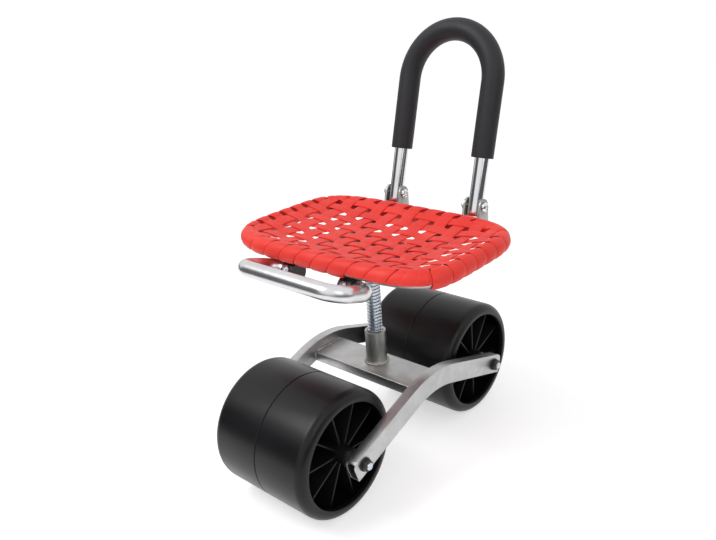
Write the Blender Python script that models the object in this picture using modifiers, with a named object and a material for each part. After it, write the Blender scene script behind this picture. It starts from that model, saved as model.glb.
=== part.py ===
"""Rolling garden seat: two pairs of wide rollers, a bent-rail base, a height
screw, a woven strap seat with a front ring, and a folding handle behind it.

Metres, +Z up, +Y to the rear, +X to the right as seen from the front.
The origin is on the floor, midway between the axles.
"""
import math

import bmesh
import bpy
from mathutils import Matrix, Vector

# Clearances
CLEARANCE = 0.0003
SIDE_PLAY = 0.0005

# Rollers
ROLLER_RADIUS = 0.090
ROLLER_LENGTH = 0.0829
ROLLER_WALL = 0.0035
ROLLER_END_ROUND = 0.012
ROLLER_MOUTH_RADIUS = 0.0735
ROLLER_WEB = 0.004
ROLLER_SEAM = 0.0006
ROLLER_STEPS = 28
HUB_RADIUS = 0.013
HUB_STAND_OUT = 0.002
RIB_COUNT = 10
RIB_THICKNESS = 0.003
RIB_SETBACK = 0.014
RIB_SINK = 0.0015

# Axles
WHEEL_BASE = 0.3128
AXLE_RADIUS = 0.005
AXLE_NUT_RADIUS = 0.0085
AXLE_NUT_HEIGHT = 0.0065
AXLE_STAND_OUT = 0.003
SPACER_RADIUS = 0.010
SPACER_LENGTH = 0.0092

# Side rails
RAIL_WIDTH = 0.015
RAIL_HEIGHT = 0.029
RAIL_WALL = 0.002
RAIL_SLOPE = math.radians(18.4)
RAIL_BEND_RADIUS = 0.140
RAIL_OVERHANG = 0.018
RAIL_CORNER = 0.008

# Cross beam, sleeve and height screw
BEAM_TOP_Z = 0.1322
BEAM_DEPTH = 0.060
BEAM_THICKNESS = 0.015
BEAM_WALL = 0.002
SLEEVE_RADIUS = 0.0155
SLEEVE_HEIGHT = 0.0505
WELD_LEG = 0.0025
SCREW_Y = 0.005
SCREW_RADIUS = 0.011
SCREW_CHAMFER = 0.0027
SCREW_FOOT_Z = 0.118

# Seat rim and woven straps
SEAT_CENTRE_Y = 0.007
RIM_HALF_X = 0.1690
RIM_HALF_Y = 0.1087
RIM_EXPONENT = 4.8
RIM_Z = 0.3276
RIM_TUBE_RADIUS = 0.0105
RIM_TUBE_WALL = 0.0015
RIM_BUTT_GAP = 0.002
RIM_STATIONS = 40
STRAP_THICKNESS = 0.0014
STRAP_PITCH_X = 0.030
STRAP_PITCH_Y = 0.024
STRAP_REACH_X = 5
STRAP_REACH_Y = 4
GAP_X = 0.006
GAP_Y = 0.005
WEAVE_RISE = 0.0012
WEAVE_DIP = 0.00012
WEAVE_INSET = 0.0065
WEAVE_SAG = 0.0165
SAG_EXPONENT = 3.0
WRAP_HALF_TURN = 140.0

# Seat plate, bars and front ring
PLATE_DEPTH = 0.080
PLATE_THICKNESS = 0.005
BAR_X = 0.065
BAR_WIDTH = 0.046
BAR_THICKNESS = 0.0025
EYE_WIDTH = 0.0195
TUBE_RADIUS = 0.011
TUBE_WALL = 0.0012
RING_HALF_X = 0.0865
RING_REACH = 0.067
RING_CORNER = 0.024
RING_RISE = math.radians(18.5)
RING_BACK_Y = -0.098
RING_BOLT_RADIUS = 0.0025
RING_BOLT_HEAD_RADIUS = 0.0055
RING_BOLT_HEAD_HEIGHT = 0.004
RING_BOLT_ANGLE = math.radians(150.0)

# Handle
HANDLE_HALF_SPAN = 0.0737
HANDLE_REACH = 0.2516
HANDLE_LEAN = math.radians(14.8)
HANDLE_TAIL = 0.015
PIVOT_Y = 0.1615
PIVOT_HEIGHT = 0.0274
GRIP_RADIUS = 0.0165
GRIP_START = 0.070
EAR_THICKNESS = 0.003
EAR_RADIUS = 0.012
EAR_HEEL = 0.013
STOP_HEIGHT = 0.016
BOLT_RADIUS = 0.004
BOLT_HEAD_RADIUS = 0.0075
BOLT_HEAD_HEIGHT = 0.005
PIVOT_NUT_RADIUS = 0.008
PIVOT_NUT_HEIGHT = 0.006
BOLT_STAND_OUT = 0.002

# Share of a bolt head's radius that is flat on top
HEAD_FLAT = 0.6

# Facet counts
TUBE_SIDES = 12
RIM_SIDES = 8
PIN_SIDES = 16
HEX_SIDES = 6
ARCH_STEPS = 12
RING_STEPS = 5
WRAP_STEPS = 9
ROUND_STEPS = 3
BEND_STEPS = 8
EAR_STEPS = 8

# Grid lines on each woven strap: its two edges and its middle
STRAP_LINES = 3

# Sizes that follow from the ones above
HUB_END = ROLLER_SEAM / 2 + ROLLER_LENGTH + HUB_STAND_OUT
RAIL_INNER_X = HUB_END + SPACER_LENGTH + 2 * CLEARANCE
RAIL_OUTER_X = RAIL_INNER_X + RAIL_WIDTH
AXLE_Z = ROLLER_RADIUS * math.cos(math.pi / ROLLER_STEPS)
AXLE_Y = WHEEL_BASE / 2
RIM_HOLLOW = (RIM_TUBE_RADIUS + CLEARANCE) / math.cos(math.pi / RIM_SIDES)
RIM_RADIUS = RIM_HOLLOW + STRAP_THICKNESS
BAR_TOP_Z = RIM_Z - RIM_RADIUS - CLEARANCE
EYE_HOLE = (TUBE_RADIUS + CLEARANCE) / math.cos(math.pi / PIN_SIDES)
EYE_RADIUS = EYE_HOLE + BAR_THICKNESS
RING_BACK_Z = BAR_TOP_Z - EYE_RADIUS
PIVOT_Z = BAR_TOP_Z + PIVOT_HEIGHT
PLATE_TOP_Z = BAR_TOP_Z - BAR_THICKNESS - CLEARANCE
SCREW_TOP_Z = PLATE_TOP_Z - PLATE_THICKNESS - CLEARANCE
EAR_INNER = TUBE_RADIUS + SIDE_PLAY
EAR_OUTER = EAR_INNER + EAR_THICKNESS

# Side view frame: local X to world Y, local Y to world Z, local Z to world X
SIDE_VIEW = Matrix(((0, 0, 1, 0), (1, 0, 0, 0), (0, 1, 0, 0), (0, 0, 0, 1)))


def clear_scene():
    for old in list(bpy.data.objects):
        bpy.data.objects.remove(old, do_unlink=True)


clear_scene()
parts = bpy.data.collections.new("rolling_garden_seat")
cutters = bpy.data.collections.new("cutters")
bpy.context.scene.collection.children.link(parts)
bpy.context.scene.collection.children.link(cutters)


def to_linear(value):
    if value <= 0.04045:
        return value / 12.92
    return ((value + 0.055) / 1.055) ** 2.4


def make_material(name, colour, roughness, metallic):
    material = bpy.data.materials.new(name)
    material.use_nodes = True
    shader = material.node_tree.nodes["Principled BSDF"]
    shader.inputs["Base Color"].default_value = [to_linear(c) for c in colour] + [1.0]
    shader.inputs["Roughness"].default_value = roughness
    shader.inputs["Metallic"].default_value = metallic
    return material


GALVANISED = make_material("galvanised_steel", (0.72, 0.71, 0.70), 0.42, 0.9)
RAW_STEEL = make_material("raw_steel", (0.58, 0.58, 0.59), 0.38, 1.0)
ZINC = make_material("zinc_plate", (0.74, 0.77, 0.80), 0.30, 1.0)
CHROME = make_material("bright_chrome", (0.86, 0.86, 0.87), 0.10, 1.0)
BLACK_STEEL = make_material("black_painted_steel", (0.10, 0.10, 0.10), 0.45, 0.0)
BLACK_PLASTIC = make_material("black_plastic", (0.13, 0.13, 0.14), 0.42, 0.0)
RED_STRAP = make_material("red_strap", (0.90, 0.22, 0.18), 0.38, 0.0)
FOAM = make_material("dark_foam", (0.20, 0.20, 0.21), 0.85, 0.0)


def add_object(name, data, collection, place=None, parent=None):
    thing = bpy.data.objects.new(name, data)
    collection.objects.link(thing)
    if parent is not None:
        thing.parent = parent
    if place is not None:
        thing.matrix_local = place
    return thing


def add_part(name, data, material, place=None, parent=None):
    data.materials.clear()
    data.materials.append(material)
    return add_object(name, data, parts, place, parent)


def hide_cutter(thing):
    thing.hide_render = True
    thing.display_type = "WIRE"
    return thing


def add_cutter(name, data, place=None, parent=None):
    return hide_cutter(add_object(name, data, cutters, place, parent))


def baked_mesh(thing, name):
    """The object's evaluated shape as a welded mesh in its own frame."""
    bpy.context.view_layer.update()
    graph = bpy.context.evaluated_depsgraph_get()
    mesh = bpy.data.meshes.new_from_object(thing.evaluated_get(graph))
    mesh.name = name
    work = bmesh.new()
    work.from_mesh(mesh)
    bmesh.ops.remove_doubles(work, verts=work.verts, dist=0.0000002)
    work.to_mesh(mesh)
    work.free()
    return mesh


def bake_and_remove(thing, name):
    mesh = baked_mesh(thing, name)
    bpy.data.objects.remove(thing, do_unlink=True)
    return mesh


def combine(thing, tool, operation, solver="EXACT"):
    modifier = thing.modifiers.new(operation.lower(), "BOOLEAN")
    modifier.operation = operation
    modifier.solver = solver
    modifier.object = tool


def smooth(mesh, angle=35.0):
    mesh.shade_smooth()
    mesh.set_sharp_from_angle(angle=math.radians(angle))
    return mesh


def bore(pin_radius, sides):
    """Corner radius of a hole with this many sides that clears a round pin."""
    return (pin_radius + CLEARANCE) / math.cos(math.pi / sides)


def box_mesh(name, low, high):
    work = bmesh.new()
    bmesh.ops.create_cube(work, size=1.0)
    size = Vector(high) - Vector(low)
    middle = (Vector(high) + Vector(low)) / 2
    stretch = Matrix.Translation(middle) @ Matrix.Diagonal(size.to_4d())
    bmesh.ops.transform(work, matrix=stretch, verts=work.verts)
    mesh = bpy.data.meshes.new(name)
    work.to_mesh(mesh)
    work.free()
    return mesh


def pin_mesh(name, radius, start, end, sides=PIN_SIDES):
    """A round pin along X between two X values."""
    work = bmesh.new()
    turn = Matrix.Translation(((start + end) / 2, 0, 0)) @ Matrix.Rotation(math.pi / 2, 4, "Y")
    bmesh.ops.create_cone(work, cap_ends=True, segments=sides, radius1=radius, radius2=radius,
                          depth=end - start, matrix=turn)
    mesh = bpy.data.meshes.new(name)
    work.to_mesh(mesh)
    work.free()
    return smooth(mesh)


def turned_mesh(name, profile, steps, closed):
    """A profile of (radius, height) points turned about Z."""
    mesh = bpy.data.meshes.new(name)
    work = bmesh.new()
    corners = [work.verts.new((radius, 0.0, height)) for radius, height in profile]
    for first, second in zip(corners, corners[1:]):
        work.edges.new((first, second))
    if closed:
        work.edges.new((corners[-1], corners[0]))
    work.to_mesh(mesh)
    work.free()
    thing = add_object(name, mesh, parts)
    screw = thing.modifiers.new("turn", "SCREW")
    screw.axis = "Z"
    screw.angle = 2 * math.pi
    screw.steps = steps
    screw.render_steps = steps
    screw.use_merge_vertices = True
    screw.merge_threshold = 0.00001
    return smooth(bake_and_remove(thing, name))


def ring_profile(inner, outer, height, chamfer=0.0):
    """A plain ring section, from the top of its outer side round to its bore."""
    return [(outer - chamfer, height), (outer, height - chamfer), (outer, chamfer),
            (outer - chamfer, 0.0), (inner, 0.0), (inner, height)]


def outline_mesh(name, outlines, thickness):
    """Flat outlines in local XY, filled and given a thickness along local Z."""
    curve = bpy.data.curves.new(name, "CURVE")
    curve.dimensions = "2D"
    curve.fill_mode = "BOTH"
    curve.extrude = thickness / 2
    for outline in outlines:
        spline = curve.splines.new("POLY")
        spline.points.add(len(outline) - 1)
        for point, (x, y) in zip(spline.points, outline):
            point.co = (x, y, 0.0, 1.0)
        spline.use_cyclic_u = True
    return bake_and_remove(add_object(name, curve, parts), name)


def path_curve(name, path, cyclic):
    curve = bpy.data.curves.new(name, "CURVE")
    curve.dimensions = "3D"
    spline = curve.splines.new("POLY")
    spline.points.add(len(path) - 1)
    for point, place in zip(spline.points, path):
        point.co = (place[0], place[1], place[2], 1.0)
    spline.use_cyclic_u = cyclic
    return curve


def tube_mesh(name, path, radius, wall, sides):
    """An open-ended round tube along a path."""
    curve = path_curve(name, path, False)
    curve.bevel_depth = radius
    curve.bevel_resolution = sides // 2 - 2
    curve.use_fill_caps = False
    thing = add_object(name, curve, parts)
    skin = thing.modifiers.new("wall", "SOLIDIFY")
    skin.thickness = wall
    skin.offset = -1.0
    return smooth(bake_and_remove(thing, name))


def arc(centre, radius, start, end, steps):
    """Points on an arc, given in degrees, both ends included."""
    points = []
    for step in range(steps + 1):
        angle = math.radians(start + (end - start) * step / steps)
        points.append((centre[0] + radius * math.cos(angle), centre[1] + radius * math.sin(angle)))
    return points


# Rollers: a turned cup with a rounded open end, joined to thin radial ribs
def roller_mesh():
    inside = ROLLER_RADIUS - ROLLER_WALL
    round_centre = (ROLLER_RADIUS - ROLLER_END_ROUND, ROLLER_LENGTH - ROLLER_END_ROUND)
    hub_top = ROLLER_LENGTH + HUB_STAND_OUT
    lip_back = ROLLER_LENGTH - ROLLER_WALL
    profile = [(ROLLER_MOUTH_RADIUS, ROLLER_LENGTH)]
    profile += arc(round_centre, ROLLER_END_ROUND, 90, 0, ROUND_STEPS)
    profile += [(ROLLER_RADIUS, ROLLER_SEAM), (ROLLER_RADIUS - ROLLER_SEAM, 0.0)]
    profile += [(bore(AXLE_RADIUS, ROLLER_STEPS), 0.0), (bore(AXLE_RADIUS, ROLLER_STEPS), hub_top)]
    profile += [(HUB_RADIUS, hub_top), (HUB_RADIUS, ROLLER_WEB), (inside, ROLLER_WEB)]
    profile += [(inside, ROLLER_LENGTH - ROLLER_END_ROUND)]
    profile += [(round_centre[0], lip_back), (ROLLER_MOUTH_RADIUS, lip_back)]
    cup = add_object("roller_cup", turned_mesh("roller_cup", profile, ROLLER_STEPS, True), parts)
    # Each rib runs a little way into the hub, the wall and the web
    start = HUB_RADIUS - RIB_SINK
    end = inside + RIB_SINK
    low = ROLLER_WEB - RIB_SINK
    high = ROLLER_LENGTH - RIB_SETBACK
    work = bmesh.new()
    for index in range(RIB_COUNT):
        turn = Matrix.Rotation(2 * math.pi * (index + 0.5) / RIB_COUNT, 4, "Z")
        middle = Matrix.Translation(((start + end) / 2, 0, (low + high) / 2))
        size = Matrix.Diagonal((end - start, RIB_THICKNESS, high - low, 1.0))
        bmesh.ops.create_cube(work, size=1.0, matrix=turn @ middle @ size)
    ribs = bpy.data.meshes.new("roller_ribs")
    work.to_mesh(ribs)
    work.free()
    combine(cup, add_cutter("roller_ribs", ribs), "UNION")
    return smooth(bake_and_remove(cup, "roller"))


roller = roller_mesh()
axle_half = RAIL_OUTER_X + CLEARANCE + AXLE_NUT_HEIGHT + AXLE_STAND_OUT
nut_profile = ring_profile(bore(AXLE_RADIUS, HEX_SIDES), AXLE_NUT_RADIUS, AXLE_NUT_HEIGHT)
spacer_profile = ring_profile(bore(AXLE_RADIUS, PIN_SIDES), SPACER_RADIUS, SPACER_LENGTH)
# Half a step of turn sets each roller down on one of its flats
flat_down = Matrix.Translation((0, 0, ROLLER_SEAM / 2)) @ Matrix.Rotation(math.pi / ROLLER_STEPS, 4, "Z")
for end_name, end_sign in (("front", -1), ("rear", 1)):
    axle_place = Matrix.Translation((0, end_sign * AXLE_Y, AXLE_Z))
    axle_name = "axle_" + end_name
    add_part(axle_name, pin_mesh(axle_name, AXLE_RADIUS, -axle_half, axle_half), ZINC, axle_place)
    for side_name, side in (("left", -1), ("right", 1)):
        outward = axle_place @ Matrix.Rotation(side * math.pi / 2, 4, "Y")
        label = end_name + "_" + side_name
        add_part("roller_" + label, roller, BLACK_PLASTIC, outward @ flat_down)
        add_part("spacer_" + label, turned_mesh("spacer_" + label, spacer_profile, PIN_SIDES, True), ZINC,
                 outward @ Matrix.Translation((0, 0, HUB_END + CLEARANCE)))
        add_part("axle_nut_" + label, turned_mesh("axle_nut_" + label, nut_profile, HEX_SIDES, True), ZINC,
                 outward @ Matrix.Translation((0, 0, RAIL_OUTER_X + CLEARANCE)))

# Side rails: an arched rectangular tube, open at both ends
bend_half = RAIL_BEND_RADIUS * RAIL_SLOPE
straight = (AXLE_Y - RAIL_BEND_RADIUS * math.sin(RAIL_SLOPE)) / math.cos(RAIL_SLOPE)
crown_drop = RAIL_BEND_RADIUS * (1 - math.cos(RAIL_SLOPE)) + straight * math.sin(RAIL_SLOPE)
bend_centre_z = AXLE_Z + crown_drop - RAIL_BEND_RADIUS
rail_half = bend_half + straight + RAIL_OVERHANG


def rail_point(along, offset):
    """A point in the side view, by distance along the rail and offset above its middle."""
    bent = max(-bend_half, min(bend_half, along)) / RAIL_BEND_RADIUS
    past = along - bent * RAIL_BEND_RADIUS
    reach = RAIL_BEND_RADIUS + offset
    return (reach * math.sin(bent) + past * math.cos(bent),
            bend_centre_z + reach * math.cos(bent) - past * math.sin(bent))


def rail_outline(half_height, half_length, corner):
    """The rail's side outline as (along, offset), front top corner first."""
    bend_spots = [bend_half * (2 * step / BEND_STEPS - 1) for step in range(BEND_STEPS + 1)]
    spots = arc((-half_length + corner, half_height - corner), corner, 180, 90, ROUND_STEPS)
    spots += [(along, half_height) for along in bend_spots]
    spots += arc((half_length - corner, half_height - corner), corner, 90, 0, ROUND_STEPS)
    spots += [(half_length, -half_height)]
    spots += [(along, -half_height) for along in reversed(bend_spots)]
    spots += [(-half_length, -half_height)]
    return [rail_point(along, offset) for along, offset in spots]


rail_shape = rail_outline(RAIL_HEIGHT / 2, rail_half, RAIL_CORNER)
hollow_shape = rail_outline(RAIL_HEIGHT / 2 - RAIL_WALL, rail_half + RAIL_OVERHANG, RAIL_WALL)
rail_hollow = outline_mesh("rail_hollow", [hollow_shape], RAIL_WIDTH - 2 * RAIL_WALL)
axle_hole = pin_mesh("axle_hole", bore(AXLE_RADIUS, PIN_SIDES), -RAIL_WIDTH, RAIL_WIDTH)
for side_name, side in (("left", -1), ("right", 1)):
    middle = Matrix.Translation((side * (RAIL_INNER_X + RAIL_WIDTH / 2), 0, 0))
    name = "rail_" + side_name
    rail = add_part(name, outline_mesh(name, [rail_shape], RAIL_WIDTH), GALVANISED, middle @ SIDE_VIEW)
    combine(rail, add_cutter(name + "_hollow", rail_hollow, middle @ SIDE_VIEW), "DIFFERENCE")
    for end_name, end_sign in (("front", -1), ("rear", 1)):
        spot = middle @ Matrix.Translation((0, end_sign * AXLE_Y, AXLE_Z))
        combine(rail, add_cutter(name + "_hole_" + end_name, axle_hole, spot), "DIFFERENCE")

# Cross beam: a flat rectangular tube between the rails, with a hole for the screw
beam_half = RAIL_INNER_X - CLEARANCE
beam_low = (-beam_half, -BEAM_DEPTH / 2, BEAM_TOP_Z - BEAM_THICKNESS)
beam_high = (beam_half, BEAM_DEPTH / 2, BEAM_TOP_Z)
beam = add_part("cross_beam", box_mesh("cross_beam", beam_low, beam_high), GALVANISED)
hollow_low = (-2 * beam_half, BEAM_WALL - BEAM_DEPTH / 2, BEAM_TOP_Z - BEAM_THICKNESS + BEAM_WALL)
hollow_high = (2 * beam_half, BEAM_DEPTH / 2 - BEAM_WALL, BEAM_TOP_Z - BEAM_WALL)
combine(beam, add_cutter("beam_hollow", box_mesh("beam_hollow", hollow_low, hollow_high)), "DIFFERENCE")
upright = Matrix.Translation((0, SCREW_Y, BEAM_TOP_Z)) @ Matrix.Rotation(math.pi / 2, 4, "Y")
screw_hole = pin_mesh("screw_hole", bore(SCREW_RADIUS + CLEARANCE, PIN_SIDES), -BEAM_DEPTH, BEAM_DEPTH)
combine(beam, add_cutter("screw_hole", screw_hole, upright), "DIFFERENCE")

# Sleeve with its weld, standing on the beam
sleeve_bore = bore(SCREW_RADIUS, 2 * TUBE_SIDES)
chamfer = (SLEEVE_RADIUS - sleeve_bore) / 3
sleeve_profile = [(SLEEVE_RADIUS - chamfer, SLEEVE_HEIGHT), (SLEEVE_RADIUS, SLEEVE_HEIGHT - chamfer),
                  (SLEEVE_RADIUS, WELD_LEG), (SLEEVE_RADIUS + WELD_LEG, 0.0),
                  (sleeve_bore, 0.0), (sleeve_bore, SLEEVE_HEIGHT)]
add_part("screw_sleeve", turned_mesh("screw_sleeve", sleeve_profile, 2 * TUBE_SIDES, True), RAW_STEEL,
         Matrix.Translation((0, SCREW_Y, BEAM_TOP_Z + CLEARANCE)))

# Height screw
screw_length = SCREW_TOP_Z - SCREW_FOOT_Z
screw_profile = [(0.0, screw_length), (SCREW_RADIUS, screw_length), (SCREW_RADIUS, SCREW_CHAMFER),
                 (SCREW_RADIUS - SCREW_CHAMFER, 0.0), (0.0, 0.0)]
add_part("height_screw", turned_mesh("height_screw", screw_profile, 2 * TUBE_SIDES, False), ZINC,
         Matrix.Translation((0, SCREW_Y, SCREW_FOOT_Z)))

# The seat turns about the screw, so its pieces hang from an empty on that axis
seat_axis = add_object("seat_axis", None, parts, Matrix.Translation((0, SCREW_Y, SCREW_TOP_Z)))
from_seat = Matrix.Translation((0, -SCREW_Y, -SCREW_TOP_Z))

# Seat plate
plate_half_x = BAR_X + BAR_WIDTH / 2
plate = box_mesh("seat_plate", (-plate_half_x, SCREW_Y - PLATE_DEPTH / 2, PLATE_TOP_Z - PLATE_THICKNESS),
                 (plate_half_x, SCREW_Y + PLATE_DEPTH / 2, PLATE_TOP_Z))
add_part("seat_plate", plate, BLACK_STEEL, from_seat, seat_axis)

# Bars under the seat, each with its front end rolled into an eye round one end of the ring
stop_y = PIVOT_Y - HANDLE_TAIL * math.sin(HANDLE_LEAN) - TUBE_RADIUS * math.cos(HANDLE_LEAN) - CLEARANCE
ear_toe_y = stop_y - EAR_THICKNESS
ear_heel_y = PIVOT_Y + EAR_HEEL
meet_angle = math.degrees(math.asin(EYE_HOLE / EYE_RADIUS))
bar_outline = arc((RING_BACK_Y, RING_BACK_Z), EYE_RADIUS, 90, 360 + meet_angle, PIN_SIDES)
bar_outline += [(ear_heel_y, BAR_TOP_Z - BAR_THICKNESS), (ear_heel_y, BAR_TOP_Z)]
half_side = 180 / PIN_SIDES
eye_outline = arc((RING_BACK_Y, RING_BACK_Z), EYE_HOLE, half_side, 360 + half_side, PIN_SIDES)[:-1]
ring_bolt_turn = Matrix.Translation((0, RING_BACK_Y, RING_BACK_Z)) @ Matrix.Rotation(
    RING_BOLT_ANGLE - math.pi / 2, 4, "X")
bolt_hole = pin_mesh("ring_bolt_hole", bore(RING_BOLT_RADIUS, PIN_SIDES), 0.0, 2 * EYE_RADIUS)
bolt_shank = BAR_THICKNESS - CLEARANCE
bolt_top = bolt_shank + RING_BOLT_HEAD_HEIGHT
ring_bolt_profile = [(0.0, bolt_top), (RING_BOLT_HEAD_RADIUS * HEAD_FLAT, bolt_top),
                     (RING_BOLT_HEAD_RADIUS, bolt_shank + RING_BOLT_HEAD_HEIGHT / 2),
                     (RING_BOLT_HEAD_RADIUS, bolt_shank + CLEARANCE),
                     (RING_BOLT_RADIUS, bolt_shank + CLEARANCE), (RING_BOLT_RADIUS, 0.0), (0.0, 0.0)]
along_z = Matrix.Rotation(-math.pi / 2, 4, "Y")
bar_inner = BAR_X - BAR_WIDTH / 2
# Beside the eye the bar is cut back, clear of the ring's bend
notch_back = SEAT_CENTRE_Y - RIM_HALF_Y + 2 * RIM_RADIUS
for side_name, side in (("left", -1), ("right", 1)):
    name = "seat_bar_" + side_name
    place = from_seat @ Matrix.Translation((side * BAR_X, 0, 0)) @ SIDE_VIEW
    strip = outline_mesh(name, [bar_outline, eye_outline], BAR_WIDTH)
    bar = add_part(name, strip, BLACK_STEEL, place, seat_axis)
    near = side * (bar_inner + EYE_WIDTH)
    far = side * (bar_inner + 2 * BAR_WIDTH)
    notch_low = (min(near, far), RING_BACK_Y - 2 * EYE_RADIUS, RING_BACK_Z - 2 * EYE_RADIUS)
    notch = box_mesh(name + "_notch", notch_low, (max(near, far), notch_back, RIM_Z))
    combine(bar, add_cutter(name + "_notch", notch, from_seat, seat_axis), "DIFFERENCE")
    bolt_place = from_seat @ Matrix.Translation((side * (bar_inner + EYE_WIDTH / 2), 0, 0)) @ ring_bolt_turn
    combine(bar, add_cutter(name + "_bolt_hole", bolt_hole, bolt_place @ along_z, seat_axis), "DIFFERENCE")
    bolt_name = "ring_bolt_" + side_name
    add_part(bolt_name, turned_mesh(bolt_name, ring_bolt_profile, TUBE_SIDES, False), ZINC,
             bolt_place @ Matrix.Translation((0, 0, EYE_HOLE + CLEARANCE)), seat_axis)


# Front ring: one bent tube, open at the back, with an end in each eye
def ring_path():
    """Points in the ring's own plane: X to the right, Y to the front."""
    bend_x = RING_HALF_X - RING_CORNER
    bend_y = RING_REACH - RING_CORNER
    path = [(-bar_inner, 0.0)]
    path += arc((-bend_x, RING_CORNER), RING_CORNER, 270, 180, RING_STEPS)
    path += arc((-bend_x, bend_y), RING_CORNER, 180, 90, RING_STEPS)
    path += arc((bend_x, bend_y), RING_CORNER, 90, 0, RING_STEPS)
    path += arc((bend_x, RING_CORNER), RING_CORNER, 0, -90, RING_STEPS)
    path += [(bar_inner, 0.0)]
    return [(x, y, 0.0) for x, y in path]


ring_place = Matrix.Translation((0, RING_BACK_Y, RING_BACK_Z)) @ Matrix.Rotation(-RING_RISE, 4, "X")
ring_place = ring_place @ Matrix.Diagonal((1, -1, -1, 1))
add_part("front_ring", tube_mesh("front_ring", ring_path(), TUBE_RADIUS, TUBE_WALL, TUBE_SIDES), CHROME,
         from_seat @ ring_place, seat_axis)


# Seat frame tube: a rounded rectangle whose ends meet at the rear, under the straps
def rim_point(turn, half_x, half_y):
    """A point of the rounded rectangle, by its angle parameter."""
    power = 2 / RIM_EXPONENT
    cosine = math.cos(turn)
    sine = math.sin(turn)
    return (math.copysign(abs(cosine) ** power, cosine) * half_x,
            math.copysign(abs(sine) ** power, sine) * half_y)


def rim_loop(half_x, half_y):
    return [rim_point(math.pi / 2 + 2 * math.pi * (step + 0.5) / RIM_STATIONS, half_x, half_y)
            for step in range(RIM_STATIONS)]


seat_place = from_seat @ Matrix.Translation((0, SEAT_CENTRE_Y, RIM_Z))
rim_line = [(x, y, 0.0) for x, y in rim_loop(RIM_HALF_X, RIM_HALF_Y)]
rear_y = rim_line[0][1]
frame_line = [(-RIM_BUTT_GAP / 2, rear_y, 0.0)] + rim_line + [(RIM_BUTT_GAP / 2, rear_y, 0.0)]
frame_hoop = tube_mesh("seat_frame_tube", frame_line, RIM_TUBE_RADIUS, RIM_TUBE_WALL, RIM_SIDES)
add_part("seat_frame_tube", frame_hoop, GALVANISED, seat_place, seat_axis)


# Woven straps: a dished sheet of crossing straps with open corners between them
def strap_lines(pitch, reach, gap, limit):
    """Strap edges and middles across the seat, the outermost pushed out to the rim."""
    half = (pitch - gap) / 2
    lines = []
    for index in range(-reach, reach + 1):
        lines += [pitch * index - half, pitch * index, pitch * index + half]
    lines[0] = -limit
    lines[-1] = limit
    return lines


def weave_height(column, row):
    """Height of the sheet at a grid point: the strap on top stays high across its own width."""
    strap_x, part_x = divmod(column, STRAP_LINES)
    strap_y, part_y = divmod(row, STRAP_LINES)
    if part_x == 1 and part_y == 1:
        return WEAVE_RISE
    lengthwise_on_top = (strap_x + strap_y) % 2 == 0
    if part_x == 1 and part_y != 1:
        return WEAVE_DIP if lengthwise_on_top else WEAVE_RISE
    if part_x != 1 and part_y == 1:
        return WEAVE_RISE if lengthwise_on_top else WEAVE_DIP
    return WEAVE_DIP


def weave_sag(x, y):
    """How far the field hangs below its edge: most in the middle, nothing where it meets the wrap."""
    share_x = abs(x) / (RIM_HALF_X - WEAVE_INSET)
    share_y = abs(y) / (RIM_HALF_Y - WEAVE_INSET)
    share = (share_x ** RIM_EXPONENT + share_y ** RIM_EXPONENT) ** (1 / RIM_EXPONENT)
    return WEAVE_SAG * (1 - share ** SAG_EXPONENT)


def weave_mesh():
    across = strap_lines(STRAP_PITCH_X, STRAP_REACH_X, GAP_X, RIM_HALF_X)
    along = strap_lines(STRAP_PITCH_Y, STRAP_REACH_Y, GAP_Y, RIM_HALF_Y)
    work = bmesh.new()
    bmesh.ops.create_grid(work, x_segments=len(across) - 1, y_segments=len(along) - 1, size=1.0)
    # A cell that starts on a strap's far edge lies between two straps
    open_corners = []
    for face in work.faces:
        middle = face.calc_center_median()
        column = int((middle.x + 1) / 2 * (len(across) - 1))
        row = int((middle.y + 1) / 2 * (len(along) - 1))
        if column % STRAP_LINES == STRAP_LINES - 1 and row % STRAP_LINES == STRAP_LINES - 1:
            open_corners.append(face)
    bmesh.ops.delete(work, geom=open_corners, context="FACES")
    for vert in work.verts:
        column = round((vert.co.x + 1) / 2 * (len(across) - 1))
        row = round((vert.co.y + 1) / 2 * (len(along) - 1))
        x = across[column]
        y = along[row]
        vert.co = (x, y, weave_height(column, row) - weave_sag(x, y))
    sheet_mesh = bpy.data.meshes.new("weave_sheet")
    work.to_mesh(sheet_mesh)
    work.free()
    sheet = add_object("weave_sheet", sheet_mesh, parts, Matrix.Translation((0, 0, sheet_base)))
    skin = sheet.modifiers.new("strap", "SOLIDIFY")
    skin.thickness = STRAP_THICKNESS
    skin.offset = 1.0
    field_outline = rim_loop(RIM_HALF_X - WEAVE_INSET, RIM_HALF_Y - WEAVE_INSET)
    field = outline_mesh("weave_field", [field_outline], 2 * (WEAVE_SAG + RIM_RADIUS))
    combine(sheet, add_cutter("weave_field", field, Matrix.Translation((0, 0, sheet_base))), "INTERSECT")
    # The exact solver leaves a few open edges where the thin sheet grazes the wrap
    combine(sheet, add_cutter("rim_wrap", wrap_mesh()), "UNION", "MANIFOLD")
    return smooth(bake_and_remove(sheet, "seat_weave"))


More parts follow.
